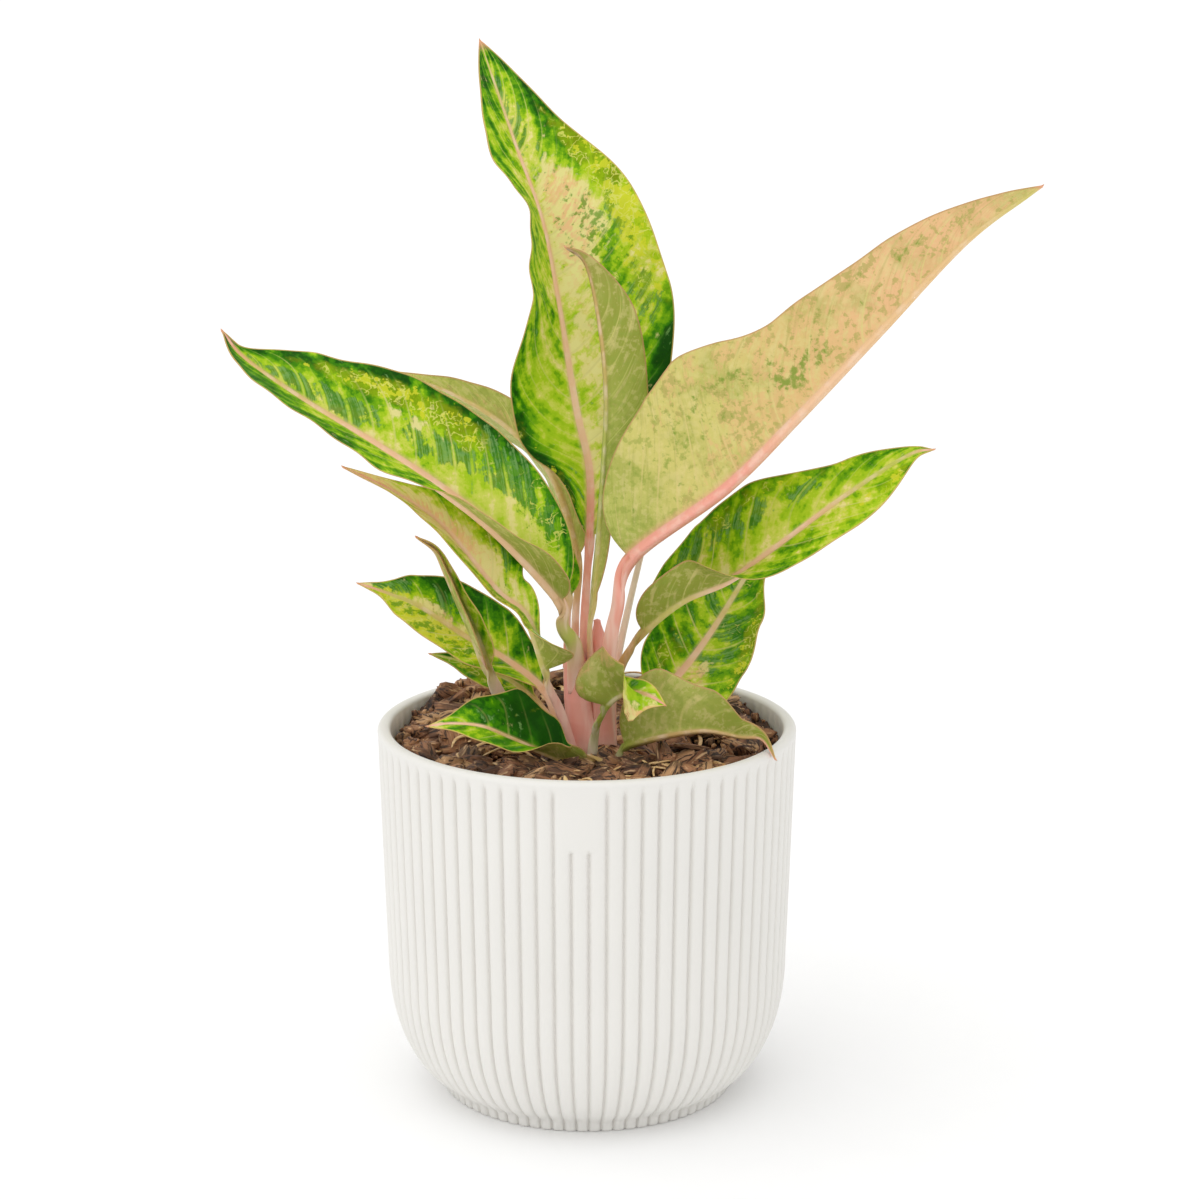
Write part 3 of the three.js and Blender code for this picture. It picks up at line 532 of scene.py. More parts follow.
# The form of each leaf. stalk and rib: the points its middle line runs through, foot to tip. face: the way
# its upper side looks. half: the left and the right half's width. fold: degrees that each half is raised,
# and curl: degrees that it bends on outwards. wave: height, number and shift of the waves along the margin.
# stem: radius of the stalk at its foot and where the blade begins. lean: how far a half sweeps to the tip.
# A leaf without curl or lean has none.
leafShapes = {
    "leaf_crown": {
        "stalk": [[0, -9, 166], [-1, -9, 180], [0, -5, 200]],
        "rib": [[1, 0, 217], [1, 6, 241], [-4, 12, 264], [-11, 24, 303], [-17, 33, 332], [-28, 44, 362],
                [-41, 60, 398]],
        "face": [[0.1, -0.9, 0.3], [0.15, -0.95, 0.3], [0.3, -0.8, 0.5]],
        "half": [[9, 25, 28, 22, 10], [12, 34, 43, 35, 13]],
        "fold": [[30, 8, 3, 56, 62, 36, 15], [30, 8, 5, 10, 10]],
        "curl": [[10, 10, 20, 0, 0], [0, 0, 10, 15, 0]],
        "wave": [1.5, 3, 0.2],
        "stem": [1.9, 1.3],
    },
    "leaf_spire": {
        "stalk": [[3, -13, 166], [2, -14, 180]],
        "rib": [[2, -15, 196], [4, -17, 219], [6, -18, 248], [7, -17, 272], [5, -14, 297], [0, -9, 320],
                [-8, -6, 327]],
        "face": [[1, 0.3, 0], [1, 0.3, 0], [1, 0.2, 0.4]],
        "half": [[4, 5, 16, 14, 2], [4, 5, 12, 12, 2]],
        "fold": [[72, 72, 70, 66, 60], [80, 78, 74, 66, 60]],
        "curl": [[0, 0, 10, 10, 0], [0, 0, 0, 0, 0]],
        "wave": [0.6, 2, 0],
        "stem": [1.9, 1.1],
    },
    "leaf_right_high": {
        "stalk": [[6, -15, 160], [7, -18, 177], [10, -20, 193]],
        "rib": [[17, -25, 214], [51, -34, 242], [77, -40, 270], [104, -44, 300], [135, -46, 334],
                [161, -44, 353]],
        "face": [[-0.6, 0.45, 0.65], [-0.6, 0.45, 0.65], [-0.6, 0.4, 0.7]],
        "half": [[24, 34, 28, 18, 6], [35, 47, 31, 22, 7]],
        "fold": [[35, 30, 30, 30, 25], [62, 62, 60, 55, 50]],
        "curl": [[0, 0, 0, 0, 0], [10, 10, 0, 10, 0]],
        "wave": [1.2, 2.5, 0.5],
        "stem": [4, 2.4],
        "lean": [[0, 0, 0, 0, 0], [-0.1, 0, 0, 0, 0]],
    },
    "leaf_right_mid": {
        "stalk": [[10, -7, 160], [14, -7, 171]],
        "rib": [[22, -9, 182], [36, -14, 195], [53, -18, 204], [72, -22, 219], [96, -24, 238],
                [118, -22, 252], [128, -20, 254]],
        "face": [[-0.2, -0.7, 0.7], [-0.1, -0.7, 0.7], [-0.1, -0.7, 0.7]],
        "half": [[12, 26, 27, 12, 2], [14, 20, 17, 13, 2]],
        "fold": [[15, 10, 5, 5, 5], [100, 90, 20, 5, 5]],
        "curl": [[0, 10, 10, 5, 0], [20, 20, 10, 0, 0]],
        "wave": [1.2, 2, 0.1],
        "stem": [2.2, 1.4],
    },
    "leaf_right_low": {
        "stalk": [[10, 0, 126], [18, 4, 142]],
        "rib": [[26, 8, 151], [37, 14, 161], [48, 22, 174], [59, 33, 189], [70, 44, 204], [80, 56, 213]],
        "face": [[-0.3, -0.8, 0.5], [-0.3, -0.8, 0.5], [-0.1, -0.8, 0.6]],
        "half": [[15, 20, 20, 10, 3], [21, 24, 17, 7, 2]],
        "fold": [[10, 10, 5, 5, 5], [10, 5, 5, 5, 5]],
        "curl": [[10, 10, 5, 5, 0], [10, 10, 10, 5, 0]],
        "wave": [1, 2, 0.3],
        "stem": [2.1, 1.3],
    },
    "leaf_left_high": {
        "stalk": [[-3, -15, 160], [-4, -19, 179], [-8, -22, 187]],
        "rib": [[-11, -25, 198], [-32, -30, 224], [-53, -33, 242], [-76, -34, 258], [-102, -32, 274],
                [-124, -28, 289], [-132, -26, 299]],
        "face": [[0.3, -0.7, 0.65], [0.3, -0.7, 0.65], [0.3, -0.6, 0.7]],
        "half": [[17, 15, 23, 20, 4], [22, 32, 31, 20, 2]],
        "fold": [[95, 54, 42, 38, 30], [20, 10, 10, 10, 10]],
        "curl": [[20, 10, 0, 0, 0], [10, 10, 0, 0, 0]],
        "wave": [1.2, 2.5, 0.6],
        "stem": [3.8, 2.2],
        "lean": [[-0.2, -0.2, 0, 0, 0], [0, 0, 0, 0, 0]],
    },
    "leaf_left_rear": {
        "stalk": [[-5, -6, 162], [-4, 0, 184]],
        "rib": [[-4, 10, 207], [-13, 24, 235], [-31, 34, 253], [-53, 42, 265], [-75, 48, 272]],
        "face": [[0.3, 0.7, 0.6], [0.3, 0.7, 0.6], [0.3, 0.6, 0.7]],
        "half": [[8, 13, 12, 8, 3], [9, 17, 18, 13, 4]],
        "fold": [[25, 25, 20, 20, 10], [25, 25, 20, 20, 10]],
        "wave": [1, 2, 0],
        "stem": [1.9, 1.2],
    },
    "leaf_left_mid": {
        "stalk": [[-1, -17, 124], [-9, -22, 153], [-13, -27, 164]],
        "rib": [[-16, -31, 173], [-22, -34, 194], [-33, -34, 204], [-52, -28, 226], [-68, -23, 237],
                [-90, -17, 247]],
        "face": [[0.3, -0.7, 0.6], [0.3, -0.7, 0.6], [0.3, -0.6, 0.7]],
        "half": [[22, 11, 9, 7, 2], [2, 10, 18, 10, 3]],
        "fold": [[105, 50, 40, 40, 30], [20, 10, 5, 5, 5]],
        "curl": [[20, 0, 0, 0, 0], [10, 10, 0, 0, 0]],
        "wave": [1, 2, 0.4],
        "stem": [2.3, 1.3],
        "lean": [[0.1, 0, 0, 0, 0], [0, 0, 0, 0, 0]],
    },
    "leaf_left_low": {
        "stalk": [[-3, -5, 124], [-11, -3, 146]],
        "rib": [[-18, 1, 158], [-33, 8, 168], [-47, 12, 175], [-64, 14, 186], [-76, 15, 191],
                [-88, 16, 195]],
        "face": [[0.2, -0.7, 0.7], [0.2, -0.7, 0.7], [0.2, -0.6, 0.8]],
        "half": [[7, 14, 13, 9, 2], [10, 18, 19, 11, 3]],
        "fold": [[20, 20, 15, 10, 10], [20, 10, 10, 10, 10]],
        "curl": [[10, 0, 0, 0, 0], [10, 10, 0, 0, 0]],
        "wave": [1, 2, 0.4],
        "stem": [2.2, 1.2],
    },
    "leaf_left_small": {
        "stalk": [[-8, 6, 126], [-14, 9, 143]],
        "rib": [[-21, 12, 150], [-29, 15, 156], [-38, 17, 160], [-48, 19, 163], [-61, 20, 166]],
        "face": [[0, -0.6, 0.8], [0, -0.6, 0.8], [0, -0.6, 0.8]],
        "half": [[4, 8, 9, 7, 2], [4, 7, 7, 5, 2]],
        "fold": [[20, 15, 10, 10, 10], [20, 15, 10, 10, 10]],
        "wave": [0.5, 2, 0],
        "stem": [1.6, 0.9],
    },
    "leaf_front_left": {
        "stalk": [[9, -28, 126], [7, -28, 136]],
        "rib": [[0, -29, 138], [-9, -30, 138], [-19, -33, 143], [-30, -36, 149], [-39, -37, 153],
                [-50, -37, 154], [-59, -37, 153]],
        "face": [[0.3, -0.6, 0.7], [0.3, -0.6, 0.75], [0.2, -0.5, 0.8]],
        "half": [[9, 11, 11, 9, 3], [6, 15, 21, 12, 2]],
        "fold": [[95, 80, 25, 20, 10], [20, 15, 10, 10, 10]],
        "curl": [[20, 10, 0, 0, 0], [10, 10, 0, 0, 0]],
        "wave": [0.7, 2, 0.4],
        "stem": [1.7, 0.9],
    },
    "leaf_front_cup": {
        "stalk": [[1, -20, 124], [2, -23, 145], [4, -27, 153]],
        "rib": [[8, -30, 159], [12, -33, 163], [17, -37, 166], [23, -41, 166], [29, -44, 163]],
        "face": [[-0.1, -0.3, 0.95], [0, -0.4, 0.9], [0, -0.4, 0.9]],
        "half": [[8, 8, 6, 5, 2], [15, 20, 16, 14, 4]],
        "fold": [[30, 30, 20, 10, 10], [60, 82, 68, -20, 0]],
        "curl": [[20, 20, 10, 0, 0], [50, 40, 10, 0, 0]],
        "wave": [0.4, 2, 0],
        "stem": [2.4, 1.2],
        "lean": [[0, 0, 0, 0, 0], [-0.7, 0.3, 0.3, 0, 0]],
    },
    "leaf_front_right": {
        "stalk": [[12, -20, 126], [12, -21, 137]],
        "rib": [[15, -23, 141], [22, -26, 144], [34, -30, 148], [45, -33, 150], [57, -37, 149],
                [65, -40, 149], [70, -43, 142]],
        "face": [[-0.1, 0.45, 0.9], [-0.1, 0.45, 0.9], [0.4, 0.2, 0.8]],
        "half": [[10, 14, 12, 8, 2], [16, 26, 17, 8, 2]],
        "fold": [[30, 30, 30, 30, 20], [62, 62, 60, 50, 30]],
        "curl": [[10, 10, 0, 0, 0], [10, 10, 0, 0, 0]],
        "wave": [0.6, 2, 0],
        "stem": [2.4, 1.1],
    },
    "leaf_spear": {
        "stalk": [[-28, 6, 124], [-30, 3, 146], [-34, -3, 158]],
        "rib": [[-38, -7, 168], [-42, -11, 181], [-47, -15, 194], [-52, -18, 207], [-56, -20, 216],
                [-63, -20, 221]],
        "face": [[0.4, -0.8, 0.2], [0.4, -0.8, 0.2], [0.4, -0.8, 0.2]],
        "half": [[6, 7, 5, 3, 1], [6, 7, 5, 3, 1]],
        "fold": [[40, 40, 45, 50, 40], [40, 40, 45, 50, 40]],
        "curl": [[60, 60, 60, 50, 0], [50, 50, 50, 40, 0]],
        "wave": [0, 1, 0],
        "stem": [4, 1.8],
    },
    "leaf_left_inner": {
        "stalk": [[-7, -9, 168], [-7, -9, 184]],
        "rib": [[-7, -8, 196], [-11, -6, 206], [-16, -5, 216], [-21, -4, 226], [-27, -3, 236]],
        "face": [[0.5, -0.8, 0.3], [0.5, -0.8, 0.3], [0.5, -0.8, 0.3]],
        "half": [[7, 10, 10, 7, 2], [7, 9, 8, 6, 2]],
        "fold": [[10, 10, 10, 10, 10], [10, 10, 10, 10, 10]],
        "wave": [0.5, 2, 0],
        "stem": [1.8, 0.9],
    },
    "leaf_back_right": {
        "stalk": [[9, -5, 156], [12, 4, 172], [18, 16, 196]],
        "rib": [[24, 28, 216], [32, 40, 236], [42, 50, 254], [55, 60, 270], [70, 70, 282]],
        "face": [[-0.5, -0.5, 0.6], [-0.5, -0.5, 0.7], [-0.4, -0.5, 0.8]],
        "half": [[10, 20, 21, 15, 5], [10, 20, 21, 15, 5]],
        "fold": [[15, 15, 10, 10, 10], [15, 15, 10, 10, 10]],
        "wave": [1, 2, 0.2],
        "stem": [1.8, 1.1],
    },
}

# How each leaf is coloured. tone: the upper side at even stations, base to tip, from 0 for cream to 1 for
# deep green, each at the left margin, the middle of the left half and beside the midrib, then the same
# outwards on the right. under: the underside, base to tip. stem: stalk foot to leaf tip, for the stalk and
# the midrib. marks are soft edged patches: what, place from base to tip, reach from -1 at the left margin
# to 1, half length, half width, strength. dark and light shift the tone, blue makes bluish panels that are
# partly painted sky sheen, yellow and warm bring yellow and pinkish cream, net brings flecks, dots and thin
# lines, and calm quiets the noises and the side veins.
leafLooks = {
    "leaf_crown": {
        "tone": [[0.54, 0.42, 0.36, 0.32, 0.34, 0.44], [0.54, 0.38, 0.32, 0.24, 0.26, 0.38],
                 [0.52, 0.42, 0.32, 0.2, 0.26, 0.42], [0.54, 0.44, 0.3, 0.1, 0.2, 0.46],
                 [0.6, 0.5, 0.34, 0.16, 0.38, 0.58], [0.74, 0.64, 0.44, 0.42, 0.62, 0.7]],
        "under": ["olive", "sage", "olive"],
        "stem": ["pale", "pink", "pink", "peach", "peach", "peach", "straw"],
        "marks": [["dark", 0.28, 1.0, 0.18, 0.3, 0.75], ["dark", 0.18, -1.0, 0.22, 0.28, 0.5],
                  ["calm", 0.2, -0.45, 0.22, 0.4, 0.5], ["calm", 0.3, 0.98, 0.17, 0.26, 0.5],
                  ["dark", 0.84, 0.85, 0.14, 0.3, 0.2], ["dark", 0.56, 0.55, 0.07, 0.12, 0.25],
                  ["blue", 0.86, 0.2, 0.08, 0.3, 0.7], ["blue", 0.5, 0.8, 0.07, 0.14, 0.55],
                  ["blue", 0.66, 0.75, 0.06, 0.14, 0.6], ["warm", 0.68, 0.32, 0.11, 0.3, 0.72],
                  ["warm", 0.5, 0.2, 0.14, 0.16, 0.42], ["warm", 0.26, 0.3, 0.12, 0.12, 0.45],
                  ["yellow", 0.74, 0.85, 0.14, 0.22, 0.55], ["yellow", 0.56, 0.82, 0.12, 0.26, 0.5],
                  ["yellow", 0.2, -0.85, 0.2, 0.2, 0.3], ["net", 0.58, 0.6, 0.12, 0.3, 0.42],
                  ["net", 0.66, 0.3, 0.12, 0.3, 0.4], ["net", 0.3, 0.6, 0.15, 0.3, 0.25]],
    },
    "leaf_spire": {
        "tone": [[0.4] * 6, [0.4] * 6],
        "under": ["sage", "sage", "olive", "bark"],
        "stem": ["pink", "straw", "sage", "tan", "brown"],
        "marks": [["warm", 0.6, 0.3, 0.2, 0.4, 0.42], ["warm", 0.3, 0.6, 0.2, 0.3, 0.3]],
    },
    "leaf_right_high": {
        "tone": [[0.5, 0.4, 0.3, 0.3, 0.4, 0.5], [0.5, 0.4, 0.3, 0.3, 0.4, 0.5]],
        "under": ["sage", "straw", "straw", "wheat", "apricot", "apricot", "straw"],
        "stem": ["pink", "pink", "pink", "pink", "peach", "apricot", "straw"],
        "marks": [["warm", 0.45, 0.85, 0.3, 0.35, 0.42], ["warm", 0.5, 0.2, 0.35, 0.35, 0.6],
                  ["warm", 0.85, 0.7, 0.18, 0.6, 0.5], ["net", 0.47, 0.3, 0.08, 0.14, 0.5],
                  ["net", 0.25, 0.6, 0.2, 0.4, 0.34], ["net", 0.6, 0.6, 0.25, 0.3, 0.34]],
    },
    "leaf_right_mid": {
        "tone": [[0.58, 0.4, 0.3, 0.34, 0.38, 0.48], [0.6, 0.36, 0.24, 0.3, 0.36, 0.46],
                 [0.62, 0.38, 0.22, 0.3, 0.4, 0.48], [0.64, 0.44, 0.28, 0.36, 0.44, 0.5],
                 [0.7, 0.56, 0.44, 0.44, 0.5, 0.54]],
        "under": ["olive", "olive", "sage"],
        "stem": ["tan", "tan", "straw", "peach", "peach", "lime", "pink"],
        "marks": [["blue", 0.3, -0.72, 0.12, 0.22, 0.7], ["blue", 0.55, -0.6, 0.14, 0.22, 0.6],
                  ["yellow", 0.75, 0.6, 0.2, 0.3, 0.45], ["calm", 0.6, -0.3, 0.3, 0.3, 0.3],
                  ["yellow", 0.5, -0.85, 0.4, 0.15, 0.35], ["net", 0.6, -0.75, 0.3, 0.2, 0.3]],
    },
    "leaf_right_low": {
        "tone": [[0.54, 0.44, 0.32, 0.32, 0.44, 0.54], [0.66, 0.56, 0.42, 0.42, 0.56, 0.66],
                 [0.7, 0.62, 0.5, 0.5, 0.62, 0.7], [0.74, 0.66, 0.58, 0.58, 0.66, 0.74]],
        "under": ["olive", "sage"],
        "stem": ["tan", "pink", "peach", "straw", "lime"],
        "marks": [["blue", 0.4, 0.3, 0.3, 0.4, 0.5], ["blue", 0.6, -0.3, 0.3, 0.4, 0.45],
                  ["warm", 0.16, 0.25, 0.14, 0.25, 0.6], ["yellow", 0.5, 0.85, 0.4, 0.2, 0.5],
                  ["yellow", 0.4, -0.4, 0.4, 0.4, 0.3], ["net", 0.5, 0, 0.5, 0.9, 0.35]],
    },
    "leaf_left_high": {
        "tone": [[0.5, 0.45, 0.42, 0.34, 0.3, 0.62], [0.66, 0.52, 0.42, 0.3, 0.34, 0.66],
                 [0.66, 0.54, 0.38, 0.24, 0.42, 0.74], [0.7, 0.56, 0.38, 0.26, 0.52, 0.72],
                 [0.74, 0.62, 0.44, 0.42, 0.6, 0.7], [0.8, 0.76, 0.6, 0.6, 0.7, 0.74]],
        "under": ["olive", "sage", "sage"],
        "stem": ["rose", "sage", "peach", "peach", "peach", "wheat", "pink"],
        "marks": [["calm", 0.16, 0.3, 0.2, 0.35, 0.5], ["calm", 0.8, -0.3, 0.3, 0.9, 0.3],
                  ["blue", 0.62, 0.25, 0.14, 0.2, 0.75], ["blue", 0.4, 0.4, 0.1, 0.2, 0.7],
                  ["blue", 0.78, 0.3, 0.1, 0.3, 0.55], ["blue", 0.22, 0.72, 0.14, 0.3, 0.75],
                  ["yellow", 0.62, 0.72, 0.14, 0.2, 0.5], ["yellow", 0.4, 0.74, 0.14, 0.24, 0.5],
                  ["dark", 0.24, 0.86, 0.16, 0.3, 0.18], ["dark", 0.5, 0.9, 0.14, 0.2, 0.1],
                  ["light", 0.14, 0.3, 0.12, 0.3, 0.12], ["warm", 0.46, 0.5, 0.07, 0.1, 0.45],
                  ["net", 0.16, 0.7, 0.12, 0.35, 0.6], ["net", 0.6, 0.5, 0.25, 0.35, 0.25],
                  ["dark", 0.8, 0.75, 0.14, 0.25, 0.15]],
    },
    "leaf_left_rear": {
        "tone": [[0.66, 0.6, 0.5, 0.5, 0.6, 0.7], [0.7, 0.6, 0.5, 0.5, 0.6, 0.7]],
        "under": ["sage", "sage", "lime"],
        "stem": ["rose", "tan", "wheat", "wheat"],
        "marks": [["warm", 0.6, -0.3, 0.3, 0.4, 0.3]],
    },
    "leaf_left_mid": {
        "tone": [[0.74, 0.66, 0.44, 0.32, 0.34, 0.46], [0.76, 0.64, 0.34, 0.2, 0.28, 0.46],
                 [0.72, 0.54, 0.2, 0.12, 0.26, 0.54], [0.3, 0.18, 0.1, 0.1, 0.24, 0.52],
                 [0.2, 0.14, 0.1, 0.1, 0.2, 0.5], [0.14, 0.12, 0.1, 0.1, 0.14, 0.2]],
        "under": ["olive", "olive", "sage"],
        "stem": ["rose", "rose", "straw", "peach", "peach", "pink"],
        "marks": [["warm", 0.7, -0.3, 0.25, 0.6, 0.55], ["warm", 0.95, 0, 0.12, 1.2, 0.9],
                  ["warm", 0.56, 0.2, 0.25, 0.3, 0.45], ["yellow", 0.3, -0.7, 0.25, 0.35, 0.55],
                  ["dark", 0.5, 0.85, 0.12, 0.3, 0.12], ["blue", 0.46, 0.62, 0.05, 0.14, 0.6],
                  ["net", 0.34, 0.45, 0.15, 0.35, 0.36], ["yellow", 0.62, 0.6, 0.15, 0.3, 0.35]],
    },
    "leaf_left_low": {
        "tone": [[0.46, 0.4, 0.36, 0.46, 0.56, 0.74], [0.44, 0.34, 0.26, 0.36, 0.56, 0.78],
                 [0.42, 0.32, 0.22, 0.34, 0.66, 0.78], [0.4, 0.32, 0.22, 0.36, 0.64, 0.74],
                 [0.34, 0.3, 0.24, 0.26, 0.4, 0.44]],
        "under": ["olive", "sage"],
        "stem": ["pale", "peach", "peach", "wheat", "straw", "pink"],
        "marks": [["blue", 0.78, 0.5, 0.16, 0.4, 0.75], ["blue", 0.52, 0.4, 0.1, 0.25, 0.5],
                  ["yellow", 0.6, -0.5, 0.4, 0.55, 0.8], ["net", 0.6, -0.5, 0.4, 0.5, 0.66],
                  ["warm", 0.52, 0.1, 0.2, 0.2, 0.5], ["yellow", 0.7, 0.25, 0.2, 0.2, 0.4],
                  ["warm", 0.97, 0, 0.06, 1, 0.8]],
    },
    "leaf_left_small": {
        "tone": [[0.6, 0.6, 0.56, 0.6, 0.7, 0.74], [0.56, 0.56, 0.56, 0.64, 0.7, 0.74]],
        "under": ["olive", "sage"],
        "stem": ["rose", "straw", "lime"],
        "marks": [["yellow", 0.5, -0.4, 0.4, 0.5, 0.5], ["net", 0.5, 0, 0.5, 1, 0.35]],
    },
    "leaf_front_left": {
        "tone": [[0.68, 0.64, 0.62, 0.74, 0.84, 0.86], [0.6, 0.58, 0.56, 0.76, 0.9, 0.9],
                 [0.56, 0.54, 0.52, 0.7, 0.84, 0.86], [0.5, 0.48, 0.48, 0.58, 0.7, 0.72],
                 [0.3, 0.34, 0.38, 0.4, 0.42, 0.36]],
        "under": ["olive", "olive", "sage"],
        "stem": ["pale", "tan", "tan", "tan", "peach", "pink"],
        "marks": [["calm", 0.35, 0.5, 0.3, 0.5, 0.6], ["calm", 0.4, -0.5, 0.3, 0.5, 0.4],
                  ["dark", 0.35, 0.55, 0.2, 0.4, 0.12], ["warm", 0.95, 0, 0.07, 0.9, 0.5],
                  ["blue", 0.55, 0.35, 0.15, 0.3, 0.4], ["net", 0.6, -0.3, 0.3, 0.5, 0.15],
                  ["yellow", 0.75, -0.3, 0.2, 0.4, 0.15]],
    },
    "leaf_front_cup": {
        "tone": [[0.5, 0.5, 0.5, 0.5, 0.5, 0.5], [0.4, 0.44, 0.46, 0.48, 0.46, 0.3]],
        "under": ["olive", "olive", "tan"],
        "stem": ["pale", "olive", "olive", "tan", "pink"],
        "marks": [["warm", 0.25, 0.9, 0.25, 0.25, 0.55], ["calm", 0.75, 0, 0.3, 1, 0.7],
                  ["warm", 0.75, 0.2, 0.3, 0.8, 0.34], ["warm", 0.8, 0.9, 0.2, 0.3, 0.5]],
    },
    "leaf_front_right": {
        "tone": [[0.6, 0.5, 0.5, 0.5, 0.5, 0.6], [0.6, 0.5, 0.5, 0.5, 0.5, 0.6]],
        "under": ["olive", "sage", "olive", "olive"],
        "stem": ["pale", "olive", "tan", "tan", "pink"],
        "marks": [["warm", 0.3, 0.95, 0.3, 0.15, 0.4]],
    },
    "leaf_spear": {
        "tone": [[0.4] * 6, [0.3] * 6],
        "under": ["rose", "sage", "olive", "olive", "tan"],
        "stem": ["pale", "pale", "straw", "olive", "tan", "brown"],
        "marks": [],
    },
    "leaf_left_inner": {
        "tone": [[0.6, 0.6, 0.6, 0.6, 0.66, 0.7], [0.84, 0.84, 0.8, 0.8, 0.84, 0.86]],
        "under": ["olive", "sage"],
        "stem": ["pink", "straw", "straw"],
        "marks": [["net", 0.4, 0, 0.4, 0.9, 0.4]],
    },
    "leaf_back_right": {
        "tone": [[0.66, 0.5, 0.4, 0.4, 0.5, 0.66], [0.7, 0.5, 0.36, 0.36, 0.5, 0.7],
                 [0.8, 0.7, 0.6, 0.6, 0.7, 0.8]],
        "under": ["olive", "sage", "sage"],
        "stem": ["rose", "pale", "rose", "peach", "straw"],
        "marks": [["blue", 0.5, 0.4, 0.3, 0.4, 0.5], ["blue", 0.5, -0.4, 0.3, 0.4, 0.5],
                  ["yellow", 0.5, 0.7, 0.3, 0.3, 0.4], ["net", 0.5, 0, 0.4, 0.9, 0.4]],
    },
}


def ends(u):
    # how a blade rounds off at its base and draws out to its tip
    return u ** leafForm["baseRound"] * (1 - u) ** leafForm["tipDraw"]


def halfWidth(widths, u):
    # the widths given at five stations, eased between them, with the ends' own shape
    stations = np.array(leafForm["widthStations"])
    shares = np.array(widths) / ends(stations)
    return along(shares, (u - stations[0]) / (stations[-1] - stations[0])) * ends(u)


def leafFrames(shape, place, u):
    # the middle line, its direction, the way the upper side faces and the way to the right half
    centre, tangent = curveThrough(shape["stalk"] + shape["rib"], place)
    normal = along(shape["face"], u)
    normal = unit(normal - tangent * dot(normal, tangent))
    side = unit(np.cross(tangent, normal))
    return centre, tangent, normal, side


def stalkRings(frames, radius, columns):
    # radius * (cos, sin) of the angle, from left over the top to right and back under; the top is flattened
    centre, _, normal, side = (item[:, None, :] for item in frames)
    top = math.pi * (1 - np.arange(columns) / (columns - 1))
    under = -math.pi * np.arange(1, columns - 1) / (columns - 1)
    turn = np.concatenate([top, under])
    lift = np.where(np.sin(turn) > 0, leafForm["channel"], 1) * np.sin(turn) - leafForm["sink"]
    size = radius[:, None]
    return centre + side * (size * np.cos(turn))[..., None] + normal * (size * lift)[..., None]


def ribSize(shape, u):
    # the midrib's radius: a share of the stalk's, thinning towards the tip and fastest at its end
    radius = shape["stem"][1] * (1 - u) ** leafForm["ribTaper"] * leafForm["ribShare"] + leafForm["ribLeast"]
    return mixed(radius, leafForm["tipRib"], ease(u, 0.93, 1))


def stepsAcross(shape, which, u, ribRadius, bladeColumns):
    # distances from the middle line: a few even steps over the midrib, the others over the blade
    least = ribRadius + mixed(leafForm["edgeLeast"], leafForm["tipLeast"], ease(u, 0.5, 1))
    width = np.maximum(halfWidth(shape["half"][which], u), least)[:, None]
    ribEdge = np.minimum(ribRadius[:, None] + leafForm["ribMargin"], width * 0.4)
    ribSteps = np.arange(leafForm["ribColumns"]) / leafForm["ribColumns"]
    bladeSteps = np.linspace(0, 1, bladeColumns) ** leafForm["marginColumns"]
    return np.hstack([ribEdge * ribSteps, ribEdge + (width - ribEdge) * bladeSteps]), width, ribEdge


def halfValue(shape, name, which, u):
    # what the leaf's form says of one half, along the blade, or 0 where it says nothing
    return along(shape[name][which], u)[:, None] if name in shape else np.zeros((len(u), 1))


def foldedHalf(shape, which, u, distance, width):
    # the half leaves at its fold angle and bends evenly by its curl, to the angle called end:
    # out = (sin end - sin fold) / bend and up = (cos fold - cos end) / bend
    fold = np.radians(halfValue(shape, "fold", which, u))
    bend = np.radians(halfValue(shape, "curl", which, u)) / np.maximum(width, 1)
    bend = np.where(np.abs(bend) < 1e-4, 1e-4, bend)
    end = fold + bend * distance
    return (np.sin(end) - np.sin(fold)) / bend, (np.cos(fold) - np.cos(end)) / bend, end


def reliefOf(shape, which, u, width, distance, veinPhase, ribLength):
    # waves that grow with the square of the distance, quilting between the side veins, ripples at the margin
    form = leafForm
    u = u[:, None]
    full = distance / width
    size, count, phase = shape["wave"]
    swing = size * np.minimum(1, width / form["fullWaveWidth"]) * (distance / np.maximum(width, 1)) ** 2
    wave = swing * np.sin(2 * math.pi * (count * u + phase + which / 3))
    share = np.minimum(1, width / form["fullReliefWidth"])
    quilt = form["quilting"] * share * ease(full, 0.05, 0.25) * (1 - ease(full, 0.75, 1))
    quilt = quilt * (np.abs(np.sin(math.pi * veinPhase)) ** 0.7 - 0.6)
    ripple = form["ripple"] * share * ease(full, 0.6, 1)
    ripple = ripple * np.sin(2 * math.pi * (ribLength / form["rippleStep"] * u + which * 0.3))
    return wave + quilt + ripple


